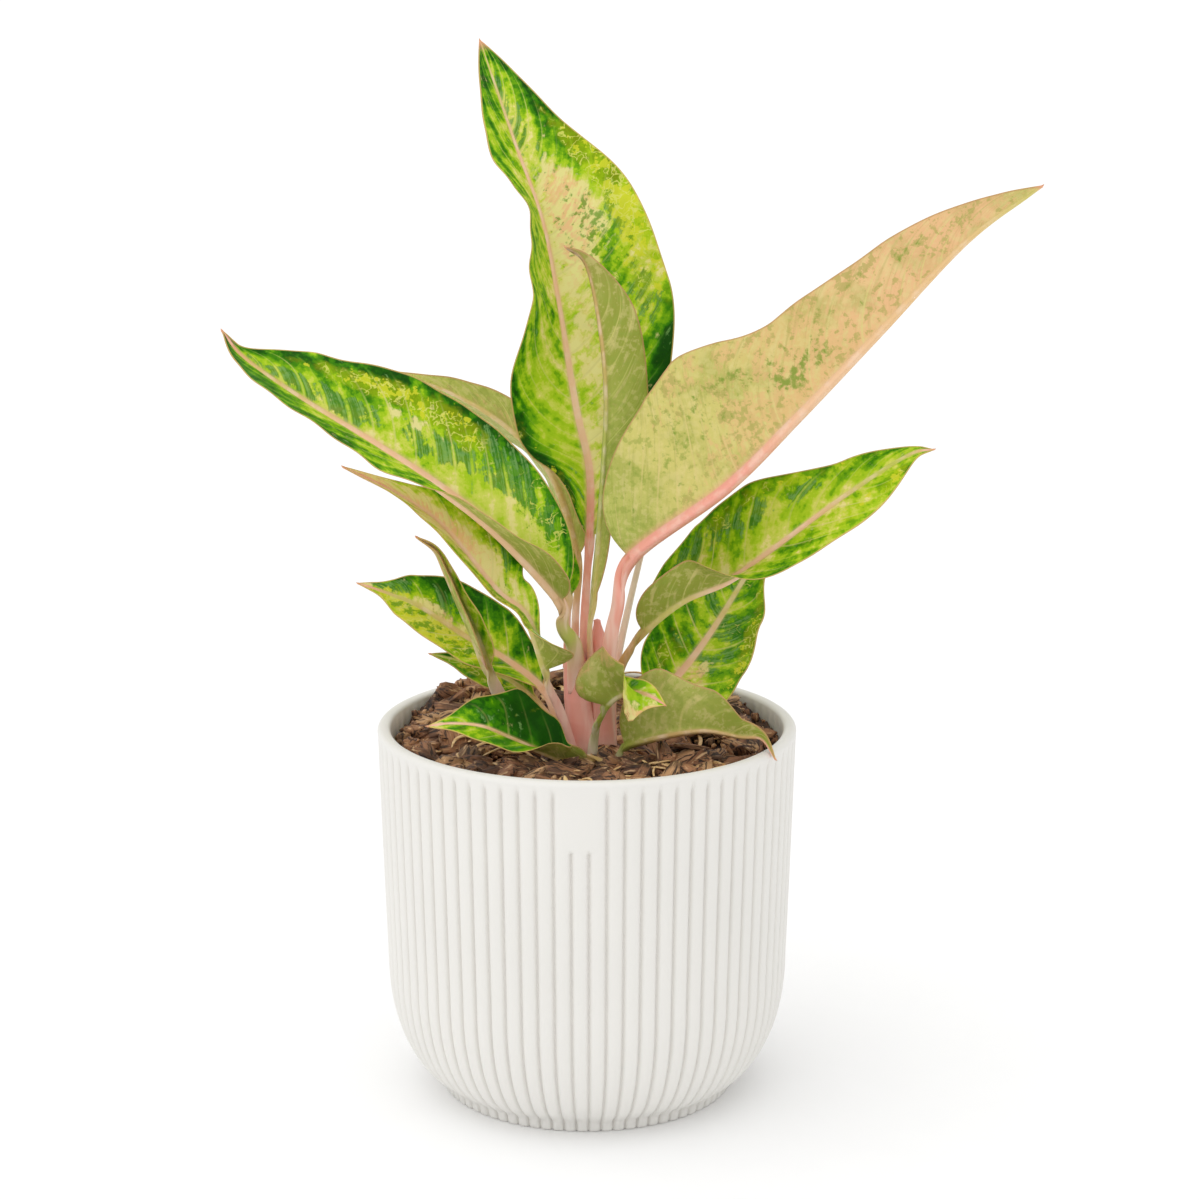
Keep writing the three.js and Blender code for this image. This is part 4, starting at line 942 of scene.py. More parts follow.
def bladeRings(shape, frames, u, bladeColumns, ribLength):
    # a point stands out and up from the middle line by the fold, then along its own normal by the relief,
    # less the gutter on the upper side, or less the thickness and the keel on the underside
    form = leafForm
    centre, tangent, normal, side = (item[:, None, :] for item in frames)
    ribRadius = ribSize(shape, u)
    layers = {"top": [], "under": []}
    marks = {"top": [], "under": []}
    for which, sign in enumerate((-1, 1)):
        distance, width, ribEdge = stepsAcross(shape, which, u, ribRadius, bladeColumns)
        out, up, end = foldedHalf(shape, which, u, distance, width)
        full = distance / width
        lean = distance / np.maximum(width, 1) * halfValue(shape, "lean", which, u)
        veinPlace = u[:, None] - form["veinSweep"] * full ** 1.35
        veinPhase = ribLength / form["veinStep"] * veinPlace + which * 0.4
        relief = reliefOf(shape, which, u, width, distance, veinPhase, ribLength)
        thickness = mixed(form["thickness"], form["edgeThickness"], ease(full, 0.6, 1))
        keel = ribRadius[:, None] * np.sqrt(np.clip(1 - (distance / ribEdge) ** 2, 0, 1))
        rows = np.ones_like(distance)
        for layer, drop, facing in (("top", form["gutter"] * keel, 1.0), ("under", thickness + keel, -1.0)):
            lift = relief - drop
            layers[layer].append(centre + tangent * (lean * distance)[..., None]
                                 + side * (sign * (out - lift * np.sin(end)))[..., None]
                                 + normal * (up + lift * np.cos(end))[..., None])
            marks[layer].append({
                "place": np.stack([u[:, None] * rows, sign * full, facing * rows], -1),
                "span": np.stack([distance, width - distance, ribRadius[:, None] * rows], -1) * mm,
                "vein": np.stack([veinPhase, sign * distance * mm, np.zeros_like(distance)], -1),
            })
    return layers, marks


def ringOrder(top, under):
    # left half from its edge inwards, right half outwards, then the underside back; the midrib is shared
    left, right = top
    lower, upper = under
    return np.concatenate([left[:, ::-1], right[:, 1:], upper[:, ::-1], lower[:, 1:]], 1)


def markSum(marks, kind, u, reach):
    # flat topped patches: strength * exp(-(squared distance from the middle) ^ 2), in half sizes
    total = np.zeros_like(reach)
    for what, place, across, long, wide, strength in marks:
        if what == kind:
            total += strength * np.exp(-(((u - place) / long) ** 2 + ((reach - across) / wide) ** 2) ** 2)
    return total


def colourAlong(names, place):
    # the named colours at even stations, eased between them
    return along(np.array([tint(*colours[name])[:3] for name in names]), place)


def toneAcross(table, u, reach):
    # straight between the margin, the middle of each half and the midrib, on either side
    columns = [along(np.array(table)[:, index], u) for index in range(6)]
    outer = np.where(reach < 0, columns[0], columns[5])
    middle = np.where(reach < 0, columns[1], columns[4])
    inner = np.where(reach < 0, columns[2], columns[3])
    away = np.abs(reach) / 0.5
    return mixed(mixed(inner, middle, np.clip(away, 0, 1)), outer, np.clip(away - 1, 0, 1))


def leafPaint(look, u, reach, whole):
    # tone, patch strengths and plain colours at every point; whole runs from the stalk's foot to the tip
    def patch(kind):
        return markSum(look["marks"], kind, u, reach)
    tone = toneAcross(look["tone"], u, reach) + patch("dark") - patch("light")
    return {
        "tone": np.stack([tone, patch("yellow"), patch("blue")], -1),
        "patch": np.stack([patch("warm"), patch("net"), patch("calm")], -1),
        "under": colourAlong(look["under"], u),
        "stem": colourAlong(look["stem"], whole),
    }


def buildLeaf(node, material):
    # stalk rings, then blade rings, in one skin from the stalk's foot to the tip
    shape = leafShapes[node]
    points = shape["stalk"] + shape["rib"]
    spans = len(points) - 1
    stalkSpans = len(shape["stalk"])
    ribLength = lengthOf(shape["rib"])
    stalkRows = int(lengthOf(points[:stalkSpans + 1]) / leafForm["rowStep"]) + 4
    bladeRows = int(ribLength / leafForm["rowStep"]) + 8
    even = np.linspace(0, 1, bladeRows)
    u = mixed(even, (1 - np.cos(math.pi * even)) / 2, leafForm["endRows"])
    u[-1] = leafForm["lastRow"]
    bladePlace = (stalkSpans + u * (len(shape["rib"]) - 1)) / spans
    widest = max(max(half) for half in shape["half"])
    bladeColumns = int(widest / leafForm["columnStep"]) + 4
    layers, marks = bladeRings(shape, leafFrames(shape, bladePlace, u), u, bladeColumns, ribLength)
    blade = ringOrder(layers["top"], layers["under"])

    # the stalk's rings turn into the blade's opening over the last part of the stalk
    stalkPlace = np.linspace(0, stalkSpans / spans, stalkRows, endpoint=False)
    zero = np.zeros(stalkRows)
    frames = leafFrames(shape, stalkPlace, zero)
    share = stalkPlace * spans / stalkSpans
    radius = mixed(shape["stem"][0], shape["stem"][1], share)
    tube = stalkRings(frames, radius, blade.shape[1] // 2 + 1)
    opening, _ = bladeRings(shape, frames, zero, bladeColumns, ribLength)
    openRings = ringOrder(opening["top"], opening["under"])
    toBlade = ease(stalkPlace * spans, stalkSpans - leafForm["opening"], stalkSpans)[:, None, None]
    rings = np.vstack([mixed(tube, openRings, toBlade), blade])

    # the stalk takes the marks of the blade's first row, and its place runs from -1 at the foot to 0
    leafMarks = {}
    for markName in ("place", "span", "vein"):
        values = ringOrder(*([half[markName] for half in marks[layer]] for layer in ("top", "under")))
        leafMarks[markName] = np.vstack([np.repeat(values[:1], stalkRows, 0), values])
    place = leafMarks["place"]
    place[:stalkRows, :, 0] = share[:, None] - 1
    whole = np.concatenate([stalkPlace, bladePlace])[:, None] * np.ones(rings.shape[1])
    leafMarks.update(leafPaint(leafLooks[node], np.clip(place[..., 0], 0, 1), place[..., 1], whole))

    tipCentre, tipTangent = curveThrough(points, np.array([1.0]))
    points, faces = skinOver(rings, rings[0].mean(0), tipCentre[0] + tipTangent[0] * leafForm["tip"])
    words = node.split("_")[1:]
    name = words[0] + "".join(word.capitalize() for word in words[1:]) + "Leaf"
    spreadMarks = {key: spread(value) for key, value in leafMarks.items()}
    piece = makePiece(name, points, faces, material, spreadMarks)
    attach(piece, "root")
    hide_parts(node)
    return len(points)


leafSkin = {
    # greens from cream at 0 to deep green at 1
    "toneRamp": [(0.0, (238, 228, 152)), (0.13, (234, 222, 140)), (0.18, (214, 218, 98)),
                 (0.29, (196, 212, 70)), (0.34, (176, 206, 40)), (0.44, (158, 198, 26)),
                 (0.49, (124, 176, 14)), (0.58, (106, 164, 10)), (0.64, (72, 138, 6)), (0.75, (54, 122, 4)),
                 (0.81, (34, 96, 4)), (1.0, (22, 74, 4))],
    # noises: scales, detail and roughness, first those along the side veins, then those in the round
    "flowing": {"panel": ((1.05, 60, 9), 1, 0.5), "streak": ((2.4, 110, 7), 4, 0.62),
                "strip": ((3.3, 58, 13), 3, 0.6), "strand": ((11, 60, 19), 2, 0.6)},
    "round": {"blotch": ((62, 62, 62), 4, 0.6), "dab": ((165, 165, 165), 3, 0.62),
              "mottle": ((390, 390, 390), 3, 0.62)},
    # how far each noise, and the place between two side veins, moves the tone
    "sways": {"panel": 0.75, "streak": 0.45, "blotch": 0.55, "dab": 0.95, "mottle": 0.55},
    "veinSway": 0.22,
    "veinShare": 0.62,      # strength of the strongest side veins
    # bluish panels: partly the leaf's own bluish green, partly painted sky sheen
    "bluish": (54, 116, 36),
    "paleBluishSheen": (122, 164, 94),
    "yellowGreen": (184, 198, 12),
    "yellow": (212, 214, 50),
    "line": (222, 222, 110),
    "cream": (238, 224, 152),
    "blush": (242, 192, 142),
    "fleck": (84, 146, 14),
    "dot": (210, 214, 90),
    "underStreak": (226, 208, 144),
    "underStrip": (140, 146, 56),
    "underBlotch": (150, 162, 66),
    "underBlush": (236, 182, 136),
    "underSpeckle": (146, 162, 68),
    "underPale": (228, 212, 146),
    "underFleck": (112, 148, 44),
    "vein": (212, 214, 124),
    "ribPale": (250, 226, 206),
    "margin": (226, 190, 116),
    "underMargin": (196, 150, 104),
    "tip": (238, 170, 136),
    # painted highlight on the stalks
    "stalkHighlight": (252, 226, 212),
    "specular": 0.08,
    "bump": 0.55,
}


def skinTint(name):
    return tint(*leafSkin[name])


def leafInputs(tree):
    # every mark and noise that the colours below are made from, by name
    leaf = dict(zip(("u", "reach", "facing"), parts(tree, markOf(tree, "place"))))
    leaf.update(zip(("fromRib", "fromEdge", "ribHalf"), parts(tree, markOf(tree, "span"))))
    leaf.update(zip(("veinPhase", "across"), parts(tree, markOf(tree, "vein"))))
    leaf.update(zip(("tone", "yellow", "blue"), parts(tree, markOf(tree, "tone"))))
    leaf.update(zip(("warm", "net", "calm"), parts(tree, markOf(tree, "patch"))))
    leaf["under"] = markOf(tree, "under")
    leaf["stem"] = markOf(tree, "stem")
    leaf["isUnder"] = step(tree, leaf["facing"], 0.3, -0.3)
    # 0 on a side vein and 0.5 halfway to the next
    leaf["wave"] = calc(tree, "PINGPONG", calc(tree, "ADD", leaf["veinPhase"], 100.0), 0.5)
    leaf["ground"] = objectPlace(tree)
    leaf["flow"] = joined(tree, leaf["veinPhase"], leaf["across"], leaf["isUnder"])
    for group, where in (("flowing", leaf["flow"]), ("round", leaf["ground"])):
        for name, (scales, detail, roughness) in leafSkin[group].items():
            leaf[name] = noise(tree, where, scales, detail, roughness)
    return leaf


def leafGreens(tree, leaf):
    # the painted tone, swayed by the noises where the leaf isn't calm, darker between the veins
    sway = swayed(tree, 0.0, *((leaf[name], weight) for name, weight in leafSkin["sways"].items()))
    value = calc(tree, "MULTIPLY_ADD", sway, calc(tree, "SUBTRACT", 1.0, leaf["calm"]), leaf["tone"])
    between = calc(tree, "SUBTRACT", leaf["wave"], 0.28)
    value = calc(tree, "MULTIPLY_ADD", between, leafSkin["veinSway"], value)
    return ramp(tree, value, leafSkin["toneRamp"])


def leafPatches(tree, leaf, body):
    # bluish panels between the veins, part leaf colour and part painted sky sheen; yellow zones and dabs
    names = ("panel", "streak", "blotch", "dab", "mottle")
    panel, streak, blotch, dab, mottle = (leaf[name] for name in names)
    # painted sky sheen, mixed with the leaf's own bluish green
    bluish = step(tree, swayed(tree, leaf["blue"], (panel, 1.8), (streak, 1.2), (mottle, 0.9)),
                  0.42, 0.6, 0.0, 0.75)
    grained = step(tree, swayed(tree, leaf["strand"], (mottle, 0.8)), 0.42, 0.62)
    bluish = calc(tree, "MULTIPLY", bluish, step(tree, leaf["wave"], 0.04, 0.14))
    body = blend(tree, bluish, body, blend(tree, grained, skinTint("bluish"), skinTint("paleBluishSheen")))
    zone = step(tree, swayed(tree, leaf["yellow"], (blotch, 1.2), (dab, 0.8)), 0.25, 0.55, 0.0, 0.42)
    body = blend(tree, zone, body, skinTint("yellowGreen"))
    dabs = step(tree, swayed(tree, leaf["yellow"], (dab, -2.0), (mottle, 1.4)), 0.6, 0.7, 0.0, 0.8)
    body = blend(tree, dabs, body, skinTint("yellow"))

    # thin winding lines, where a noise crosses its middle
    speckled = calc(tree, "MAXIMUM", leaf["yellow"], leaf["net"])
    winding = calc(tree, "SUBTRACT", noise(tree, leaf["ground"], (250, 250, 250), 2, 0.5, 0.5), 0.5)
    lines = step(tree, calc(tree, "ABSOLUTE", winding), 0.012, 0.034, 0.75, 0.0)
    lined = step(tree, swayed(tree, speckled, (blotch, 1.6), (dab, 0.8)), 0.36, 0.56)
    body = blend(tree, calc(tree, "MULTIPLY", lines, lined), body, skinTint("line"))

    # a cream and peach flush, green flecks and yellow dots
    warmth = swayed(tree, leaf["warm"], (streak, -1.2), (dab, 1.4), (mottle, 0.6))
    flush = step(tree, warmth, 0.3, 0.6, 0.0, 0.9)
    pinker = step(tree, swayed(tree, streak, (dab, -0.8)), 0.42, 0.58)
    body = blend(tree, flush, body, blend(tree, pinker, skinTint("cream"), skinTint("blush")))
    flecks = swayed(tree, leaf["net"], (mottle, 1.8), (streak, 1.2), (dab, 0.6))
    body = blend(tree, step(tree, flecks, 0.56, 0.78, 0.0, 0.75), body, skinTint("fleck"))
    cluster = step(tree, swayed(tree, speckled, (blotch, 2.0)), 0.45, 0.66)
    dots = calc(tree, "MULTIPLY", spots(tree, leaf["ground"], (430, 430, 430), 0.26, 0.3), cluster)
    body = blend(tree, calc(tree, "MULTIPLY", dots, 0.6), body, skinTint("dot"))
    return body, flush, flecks


def leafUnderside(tree, leaf, flush, flecks):
    # the underside's own colour with pale and dull streaks and speckles, and little of the patches above
    streaked = step(tree, leaf["streak"], 0.5, 0.68, 0.0, 0.45)
    plain = blend(tree, streaked, leaf["under"], skinTint("underStreak"))
    plain = blend(tree, step(tree, leaf["strip"], 0.48, 0.34, 0.0, 0.3), plain, skinTint("underStrip"))
    plain = blend(tree, step(tree, leaf["blotch"], 0.52, 0.36, 0.0, 0.4), plain, skinTint("underBlotch"))
    plain = blend(tree, calc(tree, "MULTIPLY", flush, 0.55), plain, skinTint("underBlush"))
    speckle = swayed(tree, leaf["dab"], (leaf["mottle"], 1.2))
    plain = blend(tree, step(tree, speckle, 0.54, 0.68, 0.0, 0.5), plain, skinTint("underSpeckle"))
    plain = blend(tree, step(tree, speckle, 0.46, 0.3, 0.0, 0.3), plain, skinTint("underPale"))
    return blend(tree, step(tree, flecks, 0.5, 0.9, 0.0, 0.7), plain, skinTint("underFleck"))


def leafVeins(tree, leaf, body):
    # side veins, some stronger than others, fainter at the margin and where the leaf is calm
    insideMargin = step(tree, calc(tree, "ABSOLUTE", leaf["reach"]), 0.98, 0.5)
    share = step(tree, noise(tree, leaf["flow"], (0.9, 22, 5)), 0.36, 0.64, 0.1, leafSkin["veinShare"])
    share = calc(tree, "MULTIPLY", share, step(tree, leaf["calm"], 0.0, 0.6, 1.0, 0.25))
    onVein = calc(tree, "MULTIPLY", step(tree, leaf["wave"], 0.02, 0.075, 1.0, 0.0),
                  calc(tree, "MULTIPLY", insideMargin, share))
    return blend(tree, onVein, body, blend(tree, 0.3, skinTint("vein"), leaf["stem"]))


def leafEdges(tree, leaf, onRib, body):
    # midrib with a soft halo, margin, tip and stalk
    stem = leaf["stem"]
    halo = step(tree, calc(tree, "DIVIDE", leaf["fromRib"], leaf["ribHalf"]), 1.0, 2.6, 0.45, 0.0)
    body = blend(tree, halo, body, stem)
    ribTint = blend(tree, step(tree, leaf["dab"], 0.4, 0.7, 0.0, 0.4), stem, skinTint("ribPale"))
    body = blend(tree, onRib, body, ribTint)
    marginTint = blend(tree, leaf["isUnder"], skinTint("margin"), skinTint("underMargin"))
    body = blend(tree, step(tree, leaf["fromEdge"], 0.0002, 0.0007, 0.8, 0.0), body, marginTint)
    body = blend(tree, step(tree, leaf["u"], 0.975, 0.998, 0.0, 0.8), body, skinTint("tip"))
    # painted highlights: pale streaks along the stalk
    grain = noise(tree, leaf["ground"], (240, 240, 40), 2)
    stalkTint = blend(tree, step(tree, grain, 0.42, 0.68, 0.0, 0.5), stem, skinTint("stalkHighlight"))
    return blend(tree, step(tree, leaf["u"], 0.012, -0.04), body, stalkTint)


def leafMaterial(name, roughness):
    # upper side or underside, then veins and edges; the relief follows fine strands and the side veins
    material, tree, shader = newMaterial(name, roughness)
    leaf = leafInputs(tree)
    body, flush, flecks = leafPatches(tree, leaf, leafGreens(tree, leaf))
    body = blend(tree, leaf["isUnder"], body, leafUnderside(tree, leaf, flush, flecks))
    onRib = step(tree, calc(tree, "DIVIDE", leaf["fromRib"], leaf["ribHalf"]), 1.0, 1.5, 1.0, 0.0)
    body = leafEdges(tree, leaf, onRib, leafVeins(tree, leaf, body))
    plug(tree, shader.inputs["Base Color"], body)

    shader.inputs["Specular IOR Level"].default_value = leafSkin["specular"]
    rough = step(tree, leaf["mottle"], 0.3, 0.7, roughness - 0.06, roughness + 0.08)
    plug(tree, shader.inputs["Roughness"], rough)
    relief = calc(tree, "MULTIPLY_ADD", leaf["strand"], 0.5, step(tree, leaf["wave"], 0.0, 0.12, 0.0, 0.6))
    relief = calc(tree, "MULTIPLY", relief, calc(tree, "SUBTRACT", 1.0, onRib))
    raised(tree, shader, relief, 0.00018, leafSkin["bump"])
    return material


leafGroups = {
    # slot: material, its roughness, and the leaves that wear it
    "leaf_variegated": ("variegatedLeaf", 0.4, ["leaf_crown", "leaf_right_mid", "leaf_right_low",
                                                "leaf_left_high", "leaf_left_mid", "leaf_back_right"]),
    "leaf_underside": ("leafUnderside", 0.5, ["leaf_spire", "leaf_right_high", "leaf_left_rear",
                                              "leaf_front_cup", "leaf_front_right", "leaf_spear"]),
    "leaf_dark": ("darkLeaf", 0.42, ["leaf_left_low", "leaf_left_small", "leaf_front_left",
                                     "leaf_left_inner"]),
}


def buildLeaves():
    # one material for each slot, then its leaves
    total = 0
    for slot, (materialName, roughness, nodes) in leafGroups.items():
        material = leafMaterial(materialName, roughness)
        for node in nodes:
            total += buildLeaf(node, material)
    print("leaves made,", total, "points")


buildLeaves()

# trunks

trunkForm = {
    "paths": [[[3, -10, 112], [0, -12, 136], [-3, -12, 152], [-4, -12, 166], [-4, -12, 178]],
              [[3, -10, 112], [6, -9, 136], [6, -9, 150], [6, -10, 166], [4, -11, 187]]],
    "radius": (6, 4.6),
    "skinDepth": 0.15,      # how far the skin lies inside that radius
    "scarStep": 9.5,        # between leaf scars
    "scarRise": 0.08,
    "scarTilt": 0.9,
    "scarWidth": 0.07,      # as a share of the step
    "unevenness": 0.2,
    "roundFrom": 0.72,      # where the top starts to round off
    "roundShare": 0.92,     # how much of the squared radius is gone at the last ring
    "topRise": 0.6,         # the middle of the top stands this far above the last ring
    "rows": 120,
    "columns": 48,
    "skin": ((232, 146, 136), (240, 176, 158)),
    # painted highlight: the pale streaks along the stems stand in for their gloss
    "streak": (248, 212, 196),
    "scar": (120, 70, 50),
    "foot": (238, 206, 190),
    "footHeight": (0.136, 0.146),       # metres; the skin is paler below these heights
}


def buildTrunks():
    # radius = taper + a low ridge at each leaf scar + a soft unevenness round the stem
    points = []
    faces = []
    count = 0
    place = np.linspace(0, 1, trunkForm["rows"])
    turn = evenTurn(trunkForm["columns"])
    outward = np.stack([np.cos(turn), np.sin(turn), np.zeros_like(turn)], -1)
    for number, path in enumerate(trunkForm["paths"]):
        centre, _ = curveThrough(path, place)
        travelled = (place * lengthOf(path))[:, None]
        phase = (travelled + trunkForm["scarTilt"] * np.cos(turn + number * 2)) / trunkForm["scarStep"]
        ridge = trunkForm["scarRise"] * np.exp(-((phase - np.round(phase)) / trunkForm["scarWidth"]) ** 2)
        rounding = np.sqrt(1 - ease(place, trunkForm["roundFrom"], 1) ** 2 * trunkForm["roundShare"])
        taper = ((mixed(*trunkForm["radius"], place) - trunkForm["skinDepth"]) * rounding)[:, None]
        uneven = trunkForm["unevenness"] * np.sin(3 * turn + number) * np.sin(travelled / 7 + number)
        rings = centre[:, None, :] + (taper + ridge + uneven)[..., None] * outward
        top = rings[-1].mean(0) + [0, 0, trunkForm["topRise"]]
        newPoints, newFaces = skinOver(rings, rings[0].mean(0), top)
        points.append(newPoints)
        faces += [group + count for group in newFaces]
        count += len(newPoints)
    piece = makePiece("trunkPair", np.vstack(points), faces, trunkSkin())
    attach(piece, "root")
    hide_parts("trunks")
    print("trunks made,", count, "points")


def trunkSkin():
    # clouds of two pinks, pale streaks along the stem as painted highlights, brown dots and a pale foot
    material, tree, shader = newMaterial("trunkSkin", 0.36)
    place = objectPlace(tree)
    streak = noise(tree, place, (300, 300, 30), 3)
    cloud = noise(tree, place, (70, 70, 70), 2)
    skin = blend(tree, cloud, *(tint(*pink) for pink in trunkForm["skin"]))
    # painted highlights in pale streaks along the stem
    skin = blend(tree, step(tree, streak, 0.45, 0.75, 0, 0.6), skin, tint(*trunkForm["streak"]))
    scars = spots(tree, place, (160, 160, 90), 0.22, 0.12)
    skin = blend(tree, calc(tree, "MULTIPLY", scars, 0.6), skin, tint(*trunkForm["scar"]))
    height = parts(tree, place)[2]
    low, high = trunkForm["footHeight"]
    skin = blend(tree, step(tree, height, high, low, 0, 0.6), skin, tint(*trunkForm["foot"]))
    plug(tree, shader.inputs["Base Color"], skin)
    raised(tree, shader, streak, 0.0003, 0.4)
    return material


buildTrunks()

# potting mix

mix = {
    "level": 133.5,
    "edgeRise": 4,
    "backRise": 5,
    "heaps": [[-50, 46, 16, 8], [50, 48, 14, 5]],       # x, y, radius and rise
    "lumps": [[7, 12, 1, 0.9], [4, -5, 0, 0.5], [11, 3.4, 0, 0.4]],     # wave in x and in y, shift and rise
    "reach": 73.9,
    "crumble": 0.8,         # unevenness of the bed, which lies lower by as much
    "wall": [[45, 6.4], [55, 12.4], [66.5, 34.4], [72.3, 70.4], [73.6, 120]],   # radius, height up the pot
    "columns": 220,
    "rows": 56,
    "bedShade": 0.45,       # painted shade: the share of the bark's brightness the bed keeps
    "wallGap": 0.3,         # loose pieces stay this far inside the reach
    "top": 150,             # and below this height
    "chips": 330,
    "chipLength": (8, 21),
    "chipWidth": (4, 9.5),
    "chipHeight": (2.4, 6.5),
    "chipReach": 70,
    "chipLift": (0.0, 2.8),
    "crumbs": 700,
    "crumbRadius": (0.6, 2.2),
    "crumbReach": 73,
    "crumbLift": (0.2, 2.2),
    "fibres": 150,
    "fibreLength": (6, 18),
    "fibreWidth": (0.8, 2.2),
    "fibreThickness": 0.7,
    "fibreBend": 1.1,
    "fibreReach": 68,
    "fibreLift": (2, 4),
    "seed": 4,
    "bark": ((120, 80, 54), (172, 122, 84)),
    "paleBark": (206, 162, 116),
    "barkCloud": (66, 42, 30),
    "barkFurrow": (42, 27, 20),
    "barkRidge": (222, 182, 136),
    "barkShade": (30, 20, 16),
    "straw": ((186, 138, 84), (232, 194, 134)),
    "strawLine": (246, 220, 172),
}


def mixHeight(x, y):
    # dished to the wall, higher at the back, with two heaps there and broad lumps
    reach = np.hypot(x, y) / pot["rimRadius"]
    back = np.maximum(0, y / pot["rimRadius"])
    height = mix["level"] + mix["edgeRise"] * reach ** 2 + mix["backRise"] * back ** 1.5
    for heapX, heapY, radius, rise in mix["heaps"]:
        height = height + rise * np.exp(-((x - heapX) ** 2 + (y - heapY) ** 2) / radius ** 2)
    for alongX, alongY, shift, rise in mix["lumps"]:
        height = height + rise * np.sin(x / alongX + y / alongY + shift)
    return height


def buildBed():
    # a disc of height(x, y) less a crumbly unevenness, closed down the pot's inner wall
    turn = evenTurn(mix["columns"])
    wall = np.array(mix["wall"])
    radii = mix["reach"] * np.linspace(1, 0.01, mix["rows"]) ** 0.9
    radius = np.concatenate([wall[:, 0], radii])[:, None] * np.ones(mix["columns"])
    x = radius * np.cos(turn)
    y = radius * np.sin(turn)
    crumbly = np.sin(x * 1.9 + 2 * np.sin(y * 0.8)) * np.sin(y * 1.7 + np.sin(x * 0.9))
    z = mixHeight(x, y) + mix["crumble"] * (crumbly - 1)
    z[:len(wall)] = wall[:, 1:]
    rings = np.stack([x, y, z], -1)
    points, faces = skinOver(rings, np.array([0, 0, wall[0, 1]]), rings[-1].mean(0))
    # painted shade: the bed is darkened as if shaded by the chips lying on it
    dark = barkMaterial("darkMix", 0.75, mix["bedShade"])
    piece = makePiece("mixBed", points, faces, dark, {"grain": points * mm})
    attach(piece, "root")
    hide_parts("soil")


def turned(points, angles):
    # turn each row of points about x, y and z by that row's three angles
    for axis in range(3):
        cosine = np.cos(angles[:, axis])[:, None, None, None]
        sine = np.sin(angles[:, axis])[:, None, None, None]
        first = points[..., [(axis + 1) % 3]]
        second = points[..., [(axis + 2) % 3]]
        result = points.copy()
        result[..., [(axis + 1) % 3]] = first * cosine - second * sine
        result[..., [(axis + 2) % 3]] = first * sine + second * cosine
        points = result
    return points


def manyShells(rings):
    # one closed skin for each entry of rings shaped (pieces, rows, columns, 3), and the points in each
    count, rows, columns = rings.shape[:3]
    size = rows * columns + 2
    body = rings.reshape(count, -1, 3)
    starts = rings[:, 0].mean(1)[:, None]
    finish = rings[:, -1].mean(1)[:, None]
    points = np.concatenate([body, starts, finish], 1).reshape(-1, 3)
    shift = (np.arange(count) * size)[:, None, None]
    last = rows * columns - columns
    groups = [tubeFaces(rows, columns), endFaces(0, columns, rows * columns, False),
              endFaces(last, columns, rows * columns + 1, True)]
    return points, [(group[None] + shift).reshape(-1, group.shape[1]) for group in groups], size


def scattered(random, count, reach):
    # even over a disc: radius = reach * the root of an even random share
    turn = random.uniform(0, 2 * math.pi, count)
    radius = reach * np.sqrt(random.uniform(0.0, 1, count))
    return radius * np.cos(turn), radius * np.sin(turn)


def lying(random, count, pitch, roll):
    # angles that lay a piece down, each pitched and rolled by a little and turned any way round
    return np.stack([random.uniform(-pitch, pitch, count) + math.pi / 2, random.uniform(-roll, roll, count),
                     random.uniform(0, 2 * math.pi, count)], -1)


def settle(random, rings, reach, lift):
    # set each piece somewhere on the mix, keep it inside the wall and under the top
    x, y = scattered(random, len(rings), reach)
    flat = rings.reshape(len(rings), -1, 3)
    flat[..., 0] += x[:, None]
    flat[..., 1] += y[:, None]
    flat[..., 2] += (mixHeight(x, y) + random.uniform(*lift, len(rings)))[:, None]
    farthest = np.hypot(flat[..., 0], flat[..., 1]).max(1)
    pull = np.minimum(0, mix["reach"] - mix["wallGap"] - farthest)
    here = np.maximum(np.hypot(x, y), 1)
    flat[..., 0] += (pull * x / here)[:, None]
    flat[..., 1] += (pull * y / here)[:, None]
    flat[..., 2] -= np.maximum(0, flat[..., 2].max(1) - mix["top"])[:, None]
    return rings


def hues(random, count, each):
    # three even random shares for each piece, the same at all its points
    return np.repeat(random.uniform(0, 1, (count, 3)), each, 0)


def halfSizes(random, count, name):
    return random.uniform(*mix[name], (count, 1, 1)) / 2


def squared(value):
    # makes a round outline boxy: size ^ 0.7 with its sign kept
    return np.sign(value) * np.abs(value) ** 0.7


def buildChips(random):
    # bark chips: an oblong tapering to both ends, bowed, with ridges along it and a broken outline
    count, rows, columns = mix["chips"], 9, 18
    single = (count, 1, 1)
    t = np.linspace(-1, 1, rows)[None, :, None]
    turn = evenTurn(columns)[None, None, :]
    length, width, height = (halfSizes(random, count, name)
                             for name in ("chipLength", "chipWidth", "chipHeight"))
    taper = 1 - np.abs(t) ** random.uniform(2, 5, single) * random.uniform(0.3, 0.8, single)
    ridges = 1 + 0.16 * np.cos(turn * 6 + random.uniform(0, 6, single))
    ridges = ridges + random.uniform(-0.1, 0.1, (count, rows, columns))
    bow = random.uniform(-0.25, 0.25, single) * height * (1 - t ** 2)
    ragged = random.uniform(-0.12, 0.12, (count, 1, columns)) * length * np.abs(t)
    across = squared(np.cos(turn)) * width * taper * ridges + bow * 2
    tall = squared(np.sin(turn)) * height * taper * ridges + bow
    rings = np.stack([across, tall, (t + 0 * turn) * length + ragged], -1)
    grain = manyShells(rings)[0] * mm
    rings = turned(rings, lying(random, count, 0.6, 0.5))
    rings = settle(random, rings, mix["chipReach"], mix["chipLift"])
    points, faces, each = manyShells(rings)
    marks = {"hue": hues(random, count, each), "grain": grain}
    piece = makePiece("barkChips", points, faces, barkMaterial("barkChip", 0.7), marks)
    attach(piece, "root")


